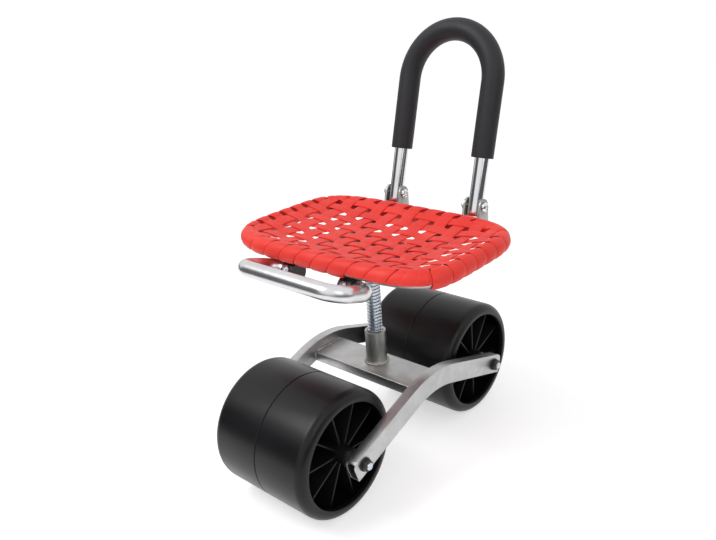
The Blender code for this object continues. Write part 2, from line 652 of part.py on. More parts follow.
def wrap_mesh():
    """The straps' turn round the frame tube: a C section swept round the rim, open on its inner side."""
    section = bpy.data.curves.new("wrap_section", "CURVE")
    section.dimensions = "2D"
    spline = section.splines.new("POLY")
    outline = arc((0, 0), RIM_RADIUS, WRAP_HALF_TURN, -WRAP_HALF_TURN, WRAP_STEPS)
    outline += arc((0, 0), RIM_HOLLOW, -WRAP_HALF_TURN, WRAP_HALF_TURN, WRAP_STEPS)
    spline.points.add(len(outline) - 1)
    for point, (x, y) in zip(spline.points, outline):
        point.co = (x, y, 0.0, 1.0)
    spline.use_cyclic_u = True
    guide = add_cutter("wrap_section", section)
    sweep = path_curve("rim_wrap", rim_line, True)
    sweep.twist_mode = "Z_UP"
    sweep.bevel_mode = "OBJECT"
    sweep.bevel_object = guide
    return bake_and_remove(add_object("rim_wrap", sweep, parts), "rim_wrap")


# The sheet's underside keeps clear of the frame tube where the sheet meets the wrap
sheet_base = math.sqrt(RIM_TUBE_RADIUS ** 2 - WEAVE_INSET ** 2) + CLEARANCE
sheet_place = seat_place @ Matrix.Translation((0, 0, sheet_base))
add_part("seat_weave", weave_mesh(), RED_STRAP, sheet_place, seat_axis)

# Handle brackets: a U of two ears with a foot and a low front wall as the handle's stop
foot_z = BAR_TOP_Z + CLEARANCE
ear_outline = [(ear_toe_y, foot_z), (ear_heel_y, foot_z)]
ear_outline += arc((PIVOT_Y, PIVOT_Z), EAR_RADIUS, 0, 180, EAR_STEPS)
slot_low = (-EAR_INNER, stop_y, foot_z + EAR_THICKNESS)
mouth_low = (-EAR_INNER, ear_toe_y - EAR_RADIUS, foot_z + STOP_HEIGHT)
cut_high = (EAR_INNER, ear_heel_y + EAR_RADIUS, PIVOT_Z + 2 * EAR_RADIUS)
slot = box_mesh("bracket_slot", slot_low, cut_high)
mouth = box_mesh("bracket_mouth", mouth_low, cut_high)
pivot_hole = pin_mesh("pivot_hole", bore(BOLT_RADIUS, PIN_SIDES), -2 * EAR_OUTER, 2 * EAR_OUTER)
bolt_length = 2 * EAR_OUTER + 2 * CLEARANCE + PIVOT_NUT_HEIGHT + BOLT_STAND_OUT
head_top = bolt_length + BOLT_HEAD_HEIGHT
pivot_bolt_profile = [(0.0, head_top), (BOLT_HEAD_RADIUS * HEAD_FLAT, head_top),
                      (BOLT_HEAD_RADIUS, bolt_length + BOLT_HEAD_HEIGHT / 2), (BOLT_HEAD_RADIUS, bolt_length),
                      (BOLT_RADIUS, bolt_length), (BOLT_RADIUS, 0.0), (0.0, 0.0)]
pivot_nut_profile = ring_profile(bore(BOLT_RADIUS, HEX_SIDES), PIVOT_NUT_RADIUS, PIVOT_NUT_HEIGHT)
to_right = Matrix.Rotation(math.pi / 2, 4, "Y")
bolt_start = Matrix.Translation((EAR_OUTER + CLEARANCE - bolt_length, 0, 0))
nut_start = Matrix.Translation((-EAR_OUTER - CLEARANCE - PIVOT_NUT_HEIGHT, 0, 0))
for side_name, side in (("left", -1), ("right", 1)):
    centre = from_seat @ Matrix.Translation((side * HANDLE_HALF_SPAN, 0, 0))
    pivot = centre @ Matrix.Translation((0, PIVOT_Y, PIVOT_Z))
    name = "handle_bracket_" + side_name
    ears = outline_mesh(name, [ear_outline], 2 * EAR_OUTER)
    bracket = add_part(name, ears, BLACK_STEEL, centre @ SIDE_VIEW, seat_axis)
    combine(bracket, add_cutter(name + "_slot", slot, centre, seat_axis), "DIFFERENCE")
    combine(bracket, add_cutter(name + "_mouth", mouth, centre, seat_axis), "DIFFERENCE")
    combine(bracket, add_cutter(name + "_hole", pivot_hole, pivot, seat_axis), "DIFFERENCE")
    bolt_name = "pivot_bolt_" + side_name
    add_part(bolt_name, turned_mesh(bolt_name, pivot_bolt_profile, TUBE_SIDES, False), ZINC,
             pivot @ bolt_start @ to_right, seat_axis)
    nut_name = "pivot_nut_" + side_name
    add_part(nut_name, turned_mesh(nut_name, pivot_nut_profile, HEX_SIDES, True), ZINC,
             pivot @ nut_start @ to_right, seat_axis)

# Handle: a bent tube that folds about its two bolts, with a foam grip over the arch
handle_place = from_seat @ Matrix.Translation((0, PIVOT_Y, PIVOT_Z)) @ Matrix.Rotation(-HANDLE_LEAN, 4, "X")
handle_axis = add_object("handle_axis", None, parts, handle_place, seat_axis)


def handle_path(start):
    """Up the left leg from a height above the bolts, over the arch and down the right leg."""
    leg_top = HANDLE_REACH - HANDLE_HALF_SPAN
    path = [(-HANDLE_HALF_SPAN, start)]
    path += arc((0.0, leg_top), HANDLE_HALF_SPAN, 180, 0, ARCH_STEPS)
    path += [(HANDLE_HALF_SPAN, start)]
    return [(x, 0.0, z) for x, z in path]


hoop = tube_mesh("handle_tube", handle_path(-HANDLE_TAIL), TUBE_RADIUS, TUBE_WALL, TUBE_SIDES)
handle = add_part("handle_tube", hoop, CHROME, None, handle_axis)
for side_name, side in (("left", -1), ("right", 1)):
    leg = Matrix.Translation((side * HANDLE_HALF_SPAN, 0, 0))
    combine(handle, add_cutter("handle_hole_" + side_name, pivot_hole, leg, handle_axis), "DIFFERENCE")
grip_wall = GRIP_RADIUS - bore(TUBE_RADIUS, TUBE_SIDES)
grip = tube_mesh("handle_grip", handle_path(GRIP_START), GRIP_RADIUS, grip_wall, TUBE_SIDES)
add_part("handle_grip", grip, FOAM, None, handle_axis)
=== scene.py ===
"""Looks of the rolling garden seat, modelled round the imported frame.

Metres, +Z up, +Y to the rear where the handle stands. Sizes repeat those of the part's own source.
"""
import math

import bmesh
import bpy
from mathutils import Matrix, Vector
from mathutils.bvhtree import BVHTree


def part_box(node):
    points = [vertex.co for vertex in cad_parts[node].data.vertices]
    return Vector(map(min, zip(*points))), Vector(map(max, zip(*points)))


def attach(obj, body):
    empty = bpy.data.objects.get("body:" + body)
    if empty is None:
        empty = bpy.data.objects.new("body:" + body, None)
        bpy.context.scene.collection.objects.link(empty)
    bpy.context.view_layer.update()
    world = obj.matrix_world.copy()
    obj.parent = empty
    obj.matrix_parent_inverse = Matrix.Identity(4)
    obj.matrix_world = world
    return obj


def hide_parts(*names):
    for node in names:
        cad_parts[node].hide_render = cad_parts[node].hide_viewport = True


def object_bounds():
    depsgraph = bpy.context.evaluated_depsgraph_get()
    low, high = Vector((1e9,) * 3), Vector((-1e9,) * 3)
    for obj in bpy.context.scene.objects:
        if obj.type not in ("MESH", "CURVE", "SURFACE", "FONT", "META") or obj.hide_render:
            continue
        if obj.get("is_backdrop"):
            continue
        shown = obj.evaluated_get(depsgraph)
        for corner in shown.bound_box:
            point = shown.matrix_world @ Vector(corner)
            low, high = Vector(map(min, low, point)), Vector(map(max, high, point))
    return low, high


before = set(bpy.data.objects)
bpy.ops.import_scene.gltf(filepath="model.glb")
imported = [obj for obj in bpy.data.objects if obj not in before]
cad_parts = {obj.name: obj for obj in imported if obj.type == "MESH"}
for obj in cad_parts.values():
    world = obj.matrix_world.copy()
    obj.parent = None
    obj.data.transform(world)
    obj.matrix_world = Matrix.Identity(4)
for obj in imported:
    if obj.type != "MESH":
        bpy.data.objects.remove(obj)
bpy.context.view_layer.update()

# Places of the two values in a pair of sizes
X = 0
Y = 1

# Rollers
ROLLER_RADIUS = 0.0894
ROLLER_LENGTH = 0.0829
ROLLER_WALL = 0.0035
ROLLER_SHOULDER = 0.0125
ROLLER_MOUTH = 0.0735
ROLLER_MOUTH_EDGE = 0.0014
ROLLER_LIP_DEPTH = 0.007
LIP_TAPER = 0.010
LIP_BEND_OUT = 0.003
LIP_BEND_DOWN = 0.002
ROLLER_WEB = 0.004
ROLLER_SEAM = 0.0006
SEAM_DEPTH = 0.0016
SEAM_FACE = -0.00025
SEAM_CHAMFER_LENGTH = 0.001
SEAM_CHAMFER_DEPTH = 0.0008
ROLLER_STEPS = 96
HUB_RADIUS = 0.013
HUB_BORE = 0.0056
HUB_STAND_OUT = 0.002
HUB_EDGE = 0.001
RIB_COUNT = 10
RIB_THICKNESS = 0.0026
RIB_SETBACK = 0.012
RIB_ROOT = 0.001
RIB_EDGE = 0.0008
RIB_PHASE = {"front": math.radians(12.0), "rear": math.radians(2.4)}

# Rails, cross beam and their welds
RAIL_HEIGHT = 0.029
RAIL_EDGE = 0.0016
BEAM_EDGE = 0.0012
TUBE_EDGE_SEGMENTS = 3
WALL_START = 0.0002
WELD_RIPPLE = 0.0022
WELD_STEPS = 4
WELD_LEAST_STEPS = 8
WELD_SIDES = 10
WELD_FADE = 6.0
WELD_TIP = 0.35
WELD_SINK = 0.0004
WELD_INSET = 0.002
TOP_WELD_RADIUS = 0.0022
SIDE_WELD_RADIUS = 0.0018
BEAM_WELD_SWING = 0.18

# Screw sleeve: its foot flares out by an amount, at a height
SLEEVE_BORE = 0.0113
SLEEVE_RADIUS = 0.0155
SLEEVE_EDGE = 0.0008
SLEEVE_FOOT = ((0.0, 0.0045), (0.0007, 0.0022), (0.0021, 0.0004), (0.0021, 0.0))
SLEEVE_STEPS = 64
SLEEVE_WELD_RADIUS = 0.0166
SLEEVE_WELD_HEIGHT = 0.0004
SLEEVE_WELD_SIZE = 0.0019
SLEEVE_WELD_RIPPLES = 40
SLEEVE_WELD_SWING = 0.14

# Axles, nuts and bolts
BOLT_STEPS = 32
AXLE_CHAMFER = 0.001
NUT_EDGE = 0.0006
WASHER_THICKNESS = 0.0014
WASHER_EDGE = 0.0003
WASHER_SHARE = 1.12
SPACER_EDGE = 0.0005
SOCKET_FLOOR = 0.55
SOCKET_SHARE = 0.42
SOCKET_MOUTH = 0.46
DOME_ANGLES = (55, 42, 28, 14, 0)
HEAD_RIM = 0.0006
HEAD_EDGE = 0.0003
RING_HEAD_RADIUS = 0.0055
RING_HEAD_HEIGHT = 0.004
RING_SHANK_RADIUS = 0.0025
RING_SHANK_LENGTH = 0.0020
RING_BOLT_REACH = 0.01432
RING_BOLT_TURN = math.radians(60.0)
PIVOT_HEAD_RADIUS = 0.0075
PIVOT_HEAD_HEIGHT = 0.005
PIVOT_SHANK_RADIUS = 0.004

# Height screw: crest and flank of the thread are shares of its pitch
SCREW_RADIUS = 0.0109
SCREW_PITCH = 0.005
SCREW_TIP = 0.001
THREAD_DEPTH = 0.0021
THREAD_STEPS = 28
CREST_SHARE = 0.36
FLANK_SHARE = 0.16
CORE_LAP = 0.0001
CORE_SHORT = 0.0004

# Seat rim
SEAT_CENTRE = Vector((0.0, 0.007, 0.3276))
RIM_HALF = (0.1690, 0.1087)
RIM_EXPONENT = 4.8
RIM_TUBE_RADIUS = 0.0105
RIM_TUBE_SIDES = 20
RIM_STEPS = 240
RIM_FINE_STEPS = 2400
RIM_SHARE_LIMIT = 0.98

# Woven field of the seat: lengthwise straps run along Y and are counted along X from the middle
STRAP_THICKNESS = 0.0017
STRAP_SIDES = 16
STRAP_EXPONENT = 3.6
STRAP_PITCH = (0.0295, 0.0235)
STRAP_WIDTH = (0.0202, 0.0152)
OUTER_WIDTH = (0.0172, 0.0126)
OUTER_INDEX = (5, 4)
STEPS_PER_CROSSING = 8
FIELD_INSET = 0.0065
FIELD_HEIGHT = 0.0099
FIELD_SAG = 0.0165
SAG_EXPONENT = 3.0
WEAVE_SWING = 0.0010
WEAVE_CALM = 0.45

# Wraps round the rim: angles are in degrees round the tube, zero outward and 90 upward
NEAR_WRAP = 3
FAR_WRAP = 4
LAST_LONG_WRAP = 2
SIDE_WRAP = OUTER_INDEX[Y] - 1
WRAP_SLANT = STRAP_PITCH[X] / 2
WRAP_GROOVE = 0.0005
WRAP_GAP = 0.0005
WRAP_EXTRA = 0.0006
WRAP_BULGE = 0.0007
WRAP_FLARE = 58.0
WRAP_TOP = 118.0
WRAP_FOOT = -224.0
WRAP_STEP = 8.0
SHORT_FOOT = -12.0
TUCK_START = -170.0
TUCK_TURN = 45.0
TUCK_SHARE = 0.6
BAND_GAP = 0.0001
BAND_THICKNESS = 0.0003
BAND_START = -10.0
BAND_END = 215.0
BAND_STEPS = 20
CORNER_TOP = 132.0
CORNER_FOOT = -50.0
CORNER_STEPS = 36
CORNER_TURNS = 18
CORNER_EXTRA = 0.0003
CORNER_THIN = 0.35
CORNER_SIDE = 0.07
CORNER_LIP = 6.0
CORNER_FADE = 22.0
CREASE_SPOTS = (0.34, 0.67)
CREASE_DEPTH = 0.16
CREASE_WIDTH = 0.035

# Steel under the seat
PLATE_EDGE = 0.0008
BAR_EDGE = 0.0005
BRACKET_EDGE = 0.0006
EYE_RADIUS = 0.0138
EYE_MARGIN = 0.002
DISC_THICKNESS = 0.0012
DISC_INSET = 0.0008
DISC_SIDES = 40

# Front ring and handle
TUBE_RADIUS = 0.011
TUBE_WALL = 0.0012
TUBE_EDGE = 0.0003
TUBE_SIDES = 32
END_REACH = 1.5
RING_HALF_X = 0.0865
RING_REACH = 0.067
RING_CORNER = 0.024
RING_CORNER_STEPS = 14
RING_END_X = 0.042
RING_STUB = 0.003
RING_RISE = math.radians(18.5)
RING_BACK = Vector((0.0, -0.098, 0.3002))
HANDLE_HALF_SPAN = 0.0737
HANDLE_REACH = 0.2516
HANDLE_LEAN = math.radians(14.8)
HANDLE_TAIL = 0.015
HANDLE_PIVOT = Vector((0.0, 0.1615, 0.3416))
HANDLE_STEPS = 32
LEG_SHARES = (0.0, 0.02, 0.5)
GRIP_RADIUS = 0.0165
GRIP_GAP = 0.0003
GRIP_START = 0.070
GRIP_EDGE = 0.0012
GRIP_SIDES = 40
GRIP_STEPS = 40

# Meshes
MERGE_DISTANCE = 0.00001
FLAT_ANGLE = math.radians(1.0)
ROUNDED_ANGLE = math.radians(40.0)
USUAL_SHARP = 35.0
THREAD_SHARP = 30.0
TUBE_SHARP = 50.0
SOFT_SHARP = 60.0

# Stage
WHITE = (1.0, 1.0, 1.0, 1.0)
WORLD_LIGHT = 0.55
FLOOR_HALF = 30.0
FLOOR_DROP = 0.0004
FLOOR_DARKER = (0.80, 0.80, 0.80, 1.0)
FLOOR_LIGHTER = (0.82, 0.82, 0.82, 1.0)
FLOOR_GLOW = (0.55, 0.55, 0.55, 1.0)
DARK_SIDES = (Vector((-0.70, -0.71, 0.0)), Vector((0.97, -0.25, 0.0)))
DARK_FLOOR_NEAR = 0.72
DARK_FLOOR_FAR = 0.98
DARK_EDGE = 0.82
DARK_CORE = 0.94
DARK_ROOM = (0.11, 0.11, 0.115, 1.0)
KEY_LIGHT = {"spot": (-0.9, -1.4, 2.2), "aim": (0.0, 0.0, 0.25), "size": (1.2, 1.2), "power": 26.0}
FILL_LIGHT = {"spot": (1.9, -0.7, 1.3), "aim": (0.0, 0.0, 0.3), "size": (1.0, 1.6), "power": 6.0}

# Camera: the focal length is in pixels of the photograph's width
CAMERA_SPOT = (0.6362, -0.7269, 0.6685)
CAMERA_AZIMUTH = math.radians(42.15)
CAMERA_ELEVATION = math.radians(21.91)
CAMERA_ROLL = math.radians(-3.73)
FOCAL_PIXELS = 734.35
PHOTO_WIDTH = 716.0
SENSOR_WIDTH = 36.0

ENDS = ("front", "rear")
SIDES = (("left", -1), ("right", 1))
UP = Vector((0.0, 0.0, 1.0))
ALONG_X = Matrix.Rotation(math.pi / 2, 4, "Y")

# Stretches of a noise along Z
BRUSHED = (1.0, 1.0, 0.08)
STREAKED = (1.0, 1.0, 0.12)

# Sockets of a Mix node that mixes colours
MIX_SHARE = 0
MIX_FIRST = 6
MIX_SECOND = 7
MIX_COLOUR = 2


# Material nodes
def to_linear(value):
    """The standard curve from a screen value to a linear one, both from 0 to 1."""
    if value <= 0.04045:
        return value / 12.92
    return ((value + 0.055) / 1.055) ** 2.4


def colour(red, green, blue):
    """A screen colour from 0 to 255 as the linear colour that a shader takes."""
    return (to_linear(red / 255), to_linear(green / 255), to_linear(blue / 255), 1.0)


def add_node(tree, kind, **values):
    """A new shader node with some of its inputs set."""
    node = tree.nodes.new("ShaderNode" + kind)
    for name, value in values.items():
        node.inputs[name].default_value = value
    return node


class Finish:
    """A node material under construction, with its pattern on Object coordinates."""

    def __init__(self, name, metallic, specular=0.5):
        self.material = bpy.data.materials.new(name)
        self.material.use_nodes = True
        self.tree = self.material.node_tree
        self.shader = self.tree.nodes["Principled BSDF"]
        self.shader.inputs["Metallic"].default_value = metallic
        self.shader.inputs["Specular IOR Level"].default_value = specular
        self.place = add_node(self.tree, "TexCoord").outputs["Object"]

    def link(self, source, target):
        self.tree.links.new(source, target)

    def noise(self, scale, detail, stretch=(1.0, 1.0, 1.0)):
        """A cloudy pattern; its coordinates are scaled by the stretch."""
        place = add_node(self.tree, "Mapping", Scale=stretch)
        node = add_node(self.tree, "TexNoise", Scale=scale, Detail=detail)
        self.link(self.place, place.inputs["Vector"])
        self.link(place.outputs["Vector"], node.inputs["Vector"])
        return node.outputs["Fac"]

    def cells(self, scale):
        node = add_node(self.tree, "TexVoronoi", Scale=scale)
        self.link(self.place, node.inputs["Vector"])
        return node

    def ramp(self, source, stops):
        """A pattern as colours: each stop is a place on the ramp and a colour."""
        node = add_node(self.tree, "ValToRGB")
        edges = node.color_ramp.elements
        while len(edges) < len(stops):
            edges.new(0.5)
        for edge, (position, tint) in zip(edges, stops):
            edge.position = position
            edge.color = tint
        self.link(source, node.inputs["Fac"])
        return node.outputs["Color"]

    def mix(self, share, first, second):
        node = add_node(self.tree, "Mix")
        node.data_type = "RGBA"
        node.inputs[MIX_SHARE].default_value = share
        self.link(first, node.inputs[MIX_FIRST])
        self.link(second, node.inputs[MIX_SECOND])
        return node.outputs[MIX_COLOUR]

    def base(self, source):
        self.link(source, self.shader.inputs["Base Color"])

    def roughness(self, source, low, high):
        node = add_node(self.tree, "MapRange", **{"To Min": low, "To Max": high})
        self.link(source, node.inputs["Value"])
        self.link(node.outputs["Result"], self.shader.inputs["Roughness"])

    def bump(self, source, strength, depth):
        node = add_node(self.tree, "Bump", Strength=strength, Distance=depth)
        self.link(source, node.inputs["Height"])
        self.link(node.outputs["Normal"], self.shader.inputs["Normal"])


def plain_finish(name, metallic, cloud, tints, grain, rough, relief, bump, specular=0.5):
    """A finish of three noises: tints from the cloud, roughness from the grain, a bump from the relief."""
    finish = Finish(name, metallic, specular)
    finish.base(finish.ramp(finish.noise(*cloud), [(place, colour(*tint)) for place, tint in tints]))
    finish.roughness(finish.noise(*grain), *rough)
    finish.bump(finish.noise(*relief), *bump)
    return finish.material


def roller_finish():
    finish = Finish("moulded_roller_plastic", metallic=0.0, specular=0.26)
    cloud = finish.noise(16.0, 5.0)
    scuff = finish.noise(60.0, 4.0, stretch=(0.12, 1.0, 1.0))
    clean = finish.ramp(cloud, [(0.30, colour(15, 15, 17)), (0.70, colour(23, 23, 26))])
    dusty = finish.ramp(scuff, [(0.45, colour(18, 18, 20)), (0.80, colour(32, 32, 35))])
    finish.base(finish.mix(0.35, clean, dusty))
    finish.roughness(scuff, low=0.24, high=0.40)
    finish.bump(finish.noise(700.0, 3.0), strength=0.14, depth=0.0002)
    return finish.material


def galvanised_finish():
    finish = Finish("galvanised_tube", metallic=1.0)
    spangle = finish.cells(scale=120.0).outputs["Color"]
    cloud = finish.noise(28.0, 5.0)
    grain = finish.noise(90.0, 5.0, stretch=(1.0, 0.16, 1.0))
    patches = finish.ramp(cloud, [(0.35, colour(174, 175, 176)), (0.70, colour(197, 198, 198))])
    flakes = finish.ramp(spangle, [(0.0, colour(178, 179, 180)), (1.0, colour(201, 202, 202))])
    finish.base(finish.mix(0.4, patches, flakes))
    finish.roughness(grain, low=0.28, high=0.50)
    finish.bump(grain, strength=0.12, depth=0.0002)
    return finish.material


def foam_finish():
    finish = Finish("foam_grip", metallic=0.0, specular=0.4)
    pores = finish.cells(scale=1500.0).outputs["Distance"]
    speckle = finish.noise(1100.0, 2.0)
    finish.base(finish.ramp(speckle, [(0.38, colour(31, 31, 34)), (0.52, colour(36, 36, 40)),
                                      (0.72, colour(44, 44, 48))]))
    finish.roughness(finish.noise(60.0, 3.0), low=0.46, high=0.60)
    finish.bump(pores, strength=0.18, depth=0.0003)
    return finish.material


RED_STRAP = plain_finish(
    "red_strap_plastic", 0.0, specular=0.35,
    cloud=(22.0, 4.0), tints=((0.30, (240, 52, 42)), (0.55, (247, 62, 52)), (0.75, (250, 72, 61))),
    grain=(140.0, 3.0), rough=(0.40, 0.56), relief=(900.0, 2.0), bump=(0.12, 0.0002))
# Painted shade: the thin band under the wraps is dark red so that the holes beside the rim look shaded
SHADE_BAND = plain_finish(
    "painted_shade_band", 0.0, specular=0.2,
    cloud=(40.0, 3.0), tints=((0.3, (152, 16, 12)), (0.7, (174, 22, 17))),
    grain=(160.0, 3.0), rough=(0.55, 0.70), relief=(900.0, 2.0), bump=(0.10, 0.0002))
CHROME = plain_finish(
    "bright_chrome_tube", 1.0,
    cloud=(45.0, 4.0), tints=((0.3, (214, 214, 216)), (0.7, (228, 228, 230))),
    grain=(260.0, 4.0, BRUSHED), rough=(0.06, 0.13), relief=(420.0, 2.0), bump=(0.012, 0.0001))
SATIN_CHROME = plain_finish(
    "satin_chrome_tube", 1.0,
    cloud=(45.0, 4.0), tints=((0.3, (208, 208, 210)), (0.7, (222, 222, 224))),
    grain=(260.0, 4.0, BRUSHED), rough=(0.25, 0.34), relief=(420.0, 2.0), bump=(0.012, 0.0001))
ZINC = plain_finish(
    "zinc_plate", 1.0,
    cloud=(120.0, 4.0), tints=((0.3, (188, 195, 204)), (0.7, (216, 222, 229))),
    grain=(300.0, 3.0), rough=(0.22, 0.40), relief=(600.0, 2.0), bump=(0.08, 0.0001))
RAW_STEEL = plain_finish(
    "raw_sleeve_steel", 1.0,
    cloud=(70.0, 5.0, STREAKED), tints=((0.3, (150, 152, 147)), (0.7, (192, 194, 189))),
    grain=(200.0, 4.0), rough=(0.32, 0.50), relief=(70.0, 5.0, STREAKED), bump=(0.10, 0.0002))
WELD = plain_finish(
    "weld_bead", 1.0,
    cloud=(240.0, 4.0), tints=((0.3, (150, 144, 138)), (0.7, (205, 202, 198))),
    grain=(240.0, 4.0), rough=(0.25, 0.5), relief=(900.0, 3.0), bump=(0.2, 0.0002))
# Dark painted steel of the nuts and bar eyes, also used as painted shade on the rails' inner walls
DARK_STEEL_AND_SHADE = plain_finish(
    "dark_steel_and_painted_shade", 0.0,
    cloud=(60.0, 4.0), tints=((0.3, (34, 34, 35)), (0.7, (48, 48, 50))),
    grain=(240.0, 3.0), rough=(0.34, 0.52), relief=(800.0, 2.0), bump=(0.10, 0.0001))
ROLLER_PLASTIC = roller_finish()
GALVANISED = galvanised_finish()
FOAM = foam_finish()


# Modelling helpers
def add_object(name, data):
    item = bpy.data.objects.new(name, data)
    bpy.context.scene.collection.objects.link(item)
    return item


def add_piece(name, work, material, body, stands_for, sharp=USUAL_SHARP):
    """Turns a bmesh into a shown piece that rides on a body and takes the place of CAD nodes."""
    bmesh.ops.remove_doubles(work, verts=work.verts, dist=MERGE_DISTANCE)
    bmesh.ops.recalc_face_normals(work, faces=work.faces)
    mesh = bpy.data.meshes.new(name)
    work.to_mesh(mesh)
    work.free()
    mesh.materials.append(material)
    mesh.shade_smooth()
    mesh.set_sharp_from_angle(angle=math.radians(sharp))
    piece = add_object(name, mesh)
    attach(piece, body)
    if stands_for:
        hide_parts(*stands_for)
    return piece


def middle_of(node):
    low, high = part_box(node)
    return (low + high) / 2


def loop_edges(work, points):
    """A closed loop of edges through the points."""
    corners = [work.verts.new(point) for point in points]
    return [work.edges.new((first, second)) for first, second in zip(corners, corners[1:] + corners[:1])]


def take_in(work, other):
    """Adds another bmesh to this one and frees it."""
    carrier = bpy.data.meshes.new("carrier")
    other.to_mesh(carrier)
    other.free()
    work.from_mesh(carrier)
    bpy.data.meshes.remove(carrier)


def sweep(work, section, places, closed=False, caps=True):
    """Carries a closed section of (u, v) points along a list of placing matrices."""
    run = bmesh.new()
    edges = loop_edges(run, [places[0] @ Vector((u, v, 0.0)) for u, v in section])
    first = list(edges)
    for before, after in zip(places, places[1:]):
        made = bmesh.ops.extrude_edge_only(run, edges=edges)["geom"]
        verts = [item for item in made if isinstance(item, bmesh.types.BMVert)]
        lines = [item for item in made if isinstance(item, bmesh.types.BMEdge)]
        fresh = set(verts)
        edges = [line for line in lines if fresh.issuperset(line.verts)]
        bmesh.ops.transform(run, matrix=after @ before.inverted(), verts=verts)
    if closed:
        bmesh.ops.bridge_loops(run, edges=first + edges)
    elif caps:
        bmesh.ops.edgeloop_fill(run, edges=first)
        bmesh.ops.edgeloop_fill(run, edges=edges)
    take_in(work, run)


def places_along(points, side, closed=False):
    """Placing matrices along a flat path: u along the side direction, v across the path in its plane."""
    side = Vector(side).normalized()
    places = []
    last = len(points) - 1
    for index, point in enumerate(points):
        before = points[index - 1] if closed or index > 0 else points[0]
        after = points[(index + 1) % len(points)] if closed or index < last else points[last]
        along = (Vector(after) - Vector(before)).normalized()
        across = along.cross(side)
        turn = Matrix((side, across, along)).transposed().to_4x4()
        places.append(Matrix.Translation(point) @ turn)
    return places


def circle_section(radius, sides):
    turns = [2 * math.pi * step / sides for step in range(sides)]
    return [(radius * math.cos(turn), radius * math.sin(turn)) for turn in turns]


def arc_points(centre, radius, start, end, steps):
    """Points on an arc in a plane, angles in degrees, both ends included."""
    points = []
    for step in range(steps + 1):
        angle = math.radians(start + (end - start) * step / steps)
        points.append((centre[0] + radius * math.cos(angle), centre[1] + radius * math.sin(angle)))
    return points


def spin_profile(work, profile, steps, closed):
    """Turns (radius, height) points about Z into a full round body."""
    corners = [work.verts.new((radius, 0.0, height)) for radius, height in profile]
    edges = [work.edges.new(pair) for pair in zip(corners, corners[1:])]
    if closed:
        edges.append(work.edges.new((corners[-1], corners[0])))
    bmesh.ops.spin(work, geom=corners + edges, cent=(0, 0, 0), axis=(0, 0, 1), angle=2 * math.pi,
                   steps=steps, use_merge=True)


def move(work, matrix):
    bmesh.ops.transform(work, matrix=matrix, verts=work.verts)


def bevel_edges(work, edges, width, segments, clamp=False):
    bmesh.ops.bevel(work, geom=edges, offset=width, affect="EDGES", segments=segments, profile=0.5,
                    material=-1, clamp_overlap=clamp)


def softened(node, width, segments=2):
    """A copy of a CAD node with its flat faces made whole and its sharp edges rounded."""
    work = bmesh.new()
    work.from_mesh(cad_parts[node].data)
    bmesh.ops.remove_doubles(work, verts=work.verts, dist=MERGE_DISTANCE)
    bmesh.ops.dissolve_limit(work, angle_limit=FLAT_ANGLE, verts=work.verts, edges=work.edges)
    inner = [edge for edge in work.edges if len(edge.link_faces) == 2]
    sharp = [edge for edge in inner if edge.calc_face_angle(0.0) > ROUNDED_ANGLE]
    bevel_edges(work, sharp, width, segments, clamp=True)
    return work


def shade_inside(work, reach):
    """Gives a tube's inner walls the second material, dark as painted shade: another wall faces them within
    the reach.
    """
    walls = BVHTree.FromBMesh(work)
    for face in work.faces:
        start = face.calc_center_median() + face.normal * WALL_START
        if walls.ray_cast(start, face.normal, reach)[0] is not None:
            face.material_index = 1


# Rollers: each half is one turned cup with a rolled lip, a hub and thin ribs
def roller_half(phase):
    """One half along Z from the seam, open at its outer end."""
    work = bmesh.new()
    inside = ROLLER_RADIUS - ROLLER_WALL
    groove = ROLLER_RADIUS - SEAM_DEPTH
    edge = ROLLER_MOUTH_EDGE
    lip = ROLLER_LENGTH - ROLLER_LIP_DEPTH
    hub_top = ROLLER_LENGTH + HUB_STAND_OUT
    shoulder = (ROLLER_RADIUS - ROLLER_SHOULDER, ROLLER_LENGTH - ROLLER_SHOULDER)
    profile = arc_points((ROLLER_MOUTH + edge, ROLLER_LENGTH - edge), edge, 180, 90, 4)
    profile += arc_points(shoulder, ROLLER_SHOULDER, 90, 0, 9)
    profile += [(ROLLER_RADIUS, SEAM_CHAMFER_LENGTH), (ROLLER_RADIUS - SEAM_CHAMFER_DEPTH, 0.0)]
    profile += [(groove, 0.0), (groove, SEAM_FACE), (HUB_BORE, SEAM_FACE), (HUB_BORE, hub_top)]
    profile += arc_points((HUB_RADIUS - HUB_EDGE, hub_top - HUB_EDGE), HUB_EDGE, 90, 0, 2)
    profile += [(HUB_RADIUS, ROLLER_WEB), (inside, ROLLER_WEB), (inside, lip - LIP_TAPER)]
    profile += [(ROLLER_MOUTH + LIP_BEND_OUT, lip - LIP_BEND_DOWN), (ROLLER_MOUTH, lip)]
    spin_profile(work, profile, ROLLER_STEPS, True)
    start = HUB_RADIUS - RIB_ROOT
    end = inside + RIB_ROOT
    high = ROLLER_LENGTH - RIB_SETBACK
    for index in range(RIB_COUNT):
        turn = Matrix.Rotation(phase + 2 * math.pi * index / RIB_COUNT, 4, "Z")
        middle = Matrix.Translation(((start + end) / 2, 0.0, (ROLLER_WEB + high) / 2))
        size = Matrix.Diagonal((end - start, RIB_THICKNESS, high - ROLLER_WEB + RIB_ROOT, 1.0))
        made = bmesh.ops.create_cube(work, size=1.0, matrix=turn @ middle @ size)
        top = [vert for vert in made["verts"] if vert.co.z > high - 2 * RIB_ROOT]
        lines = [item for vert in top for item in vert.link_edges]
        ridge = dict.fromkeys(item for item in lines if item.verts[0] in top and item.verts[1] in top)
        bevel_edges(work, list(ridge), RIB_EDGE, 2)
    return work


for end_name in ENDS:
    axle = middle_of("axle_" + end_name)
    for side_name, side in SIDES:
        label = "roller_" + end_name + "_" + side_name
        outward = Matrix.Translation(axle) @ Matrix.Rotation(side * math.pi / 2, 4, "Y")
        work = roller_half(RIB_PHASE[end_name])
        move(work, outward @ Matrix.Translation((0.0, 0.0, ROLLER_SEAM / 2)))
        add_piece(label + "_moulding", work, ROLLER_PLASTIC, label, [label])


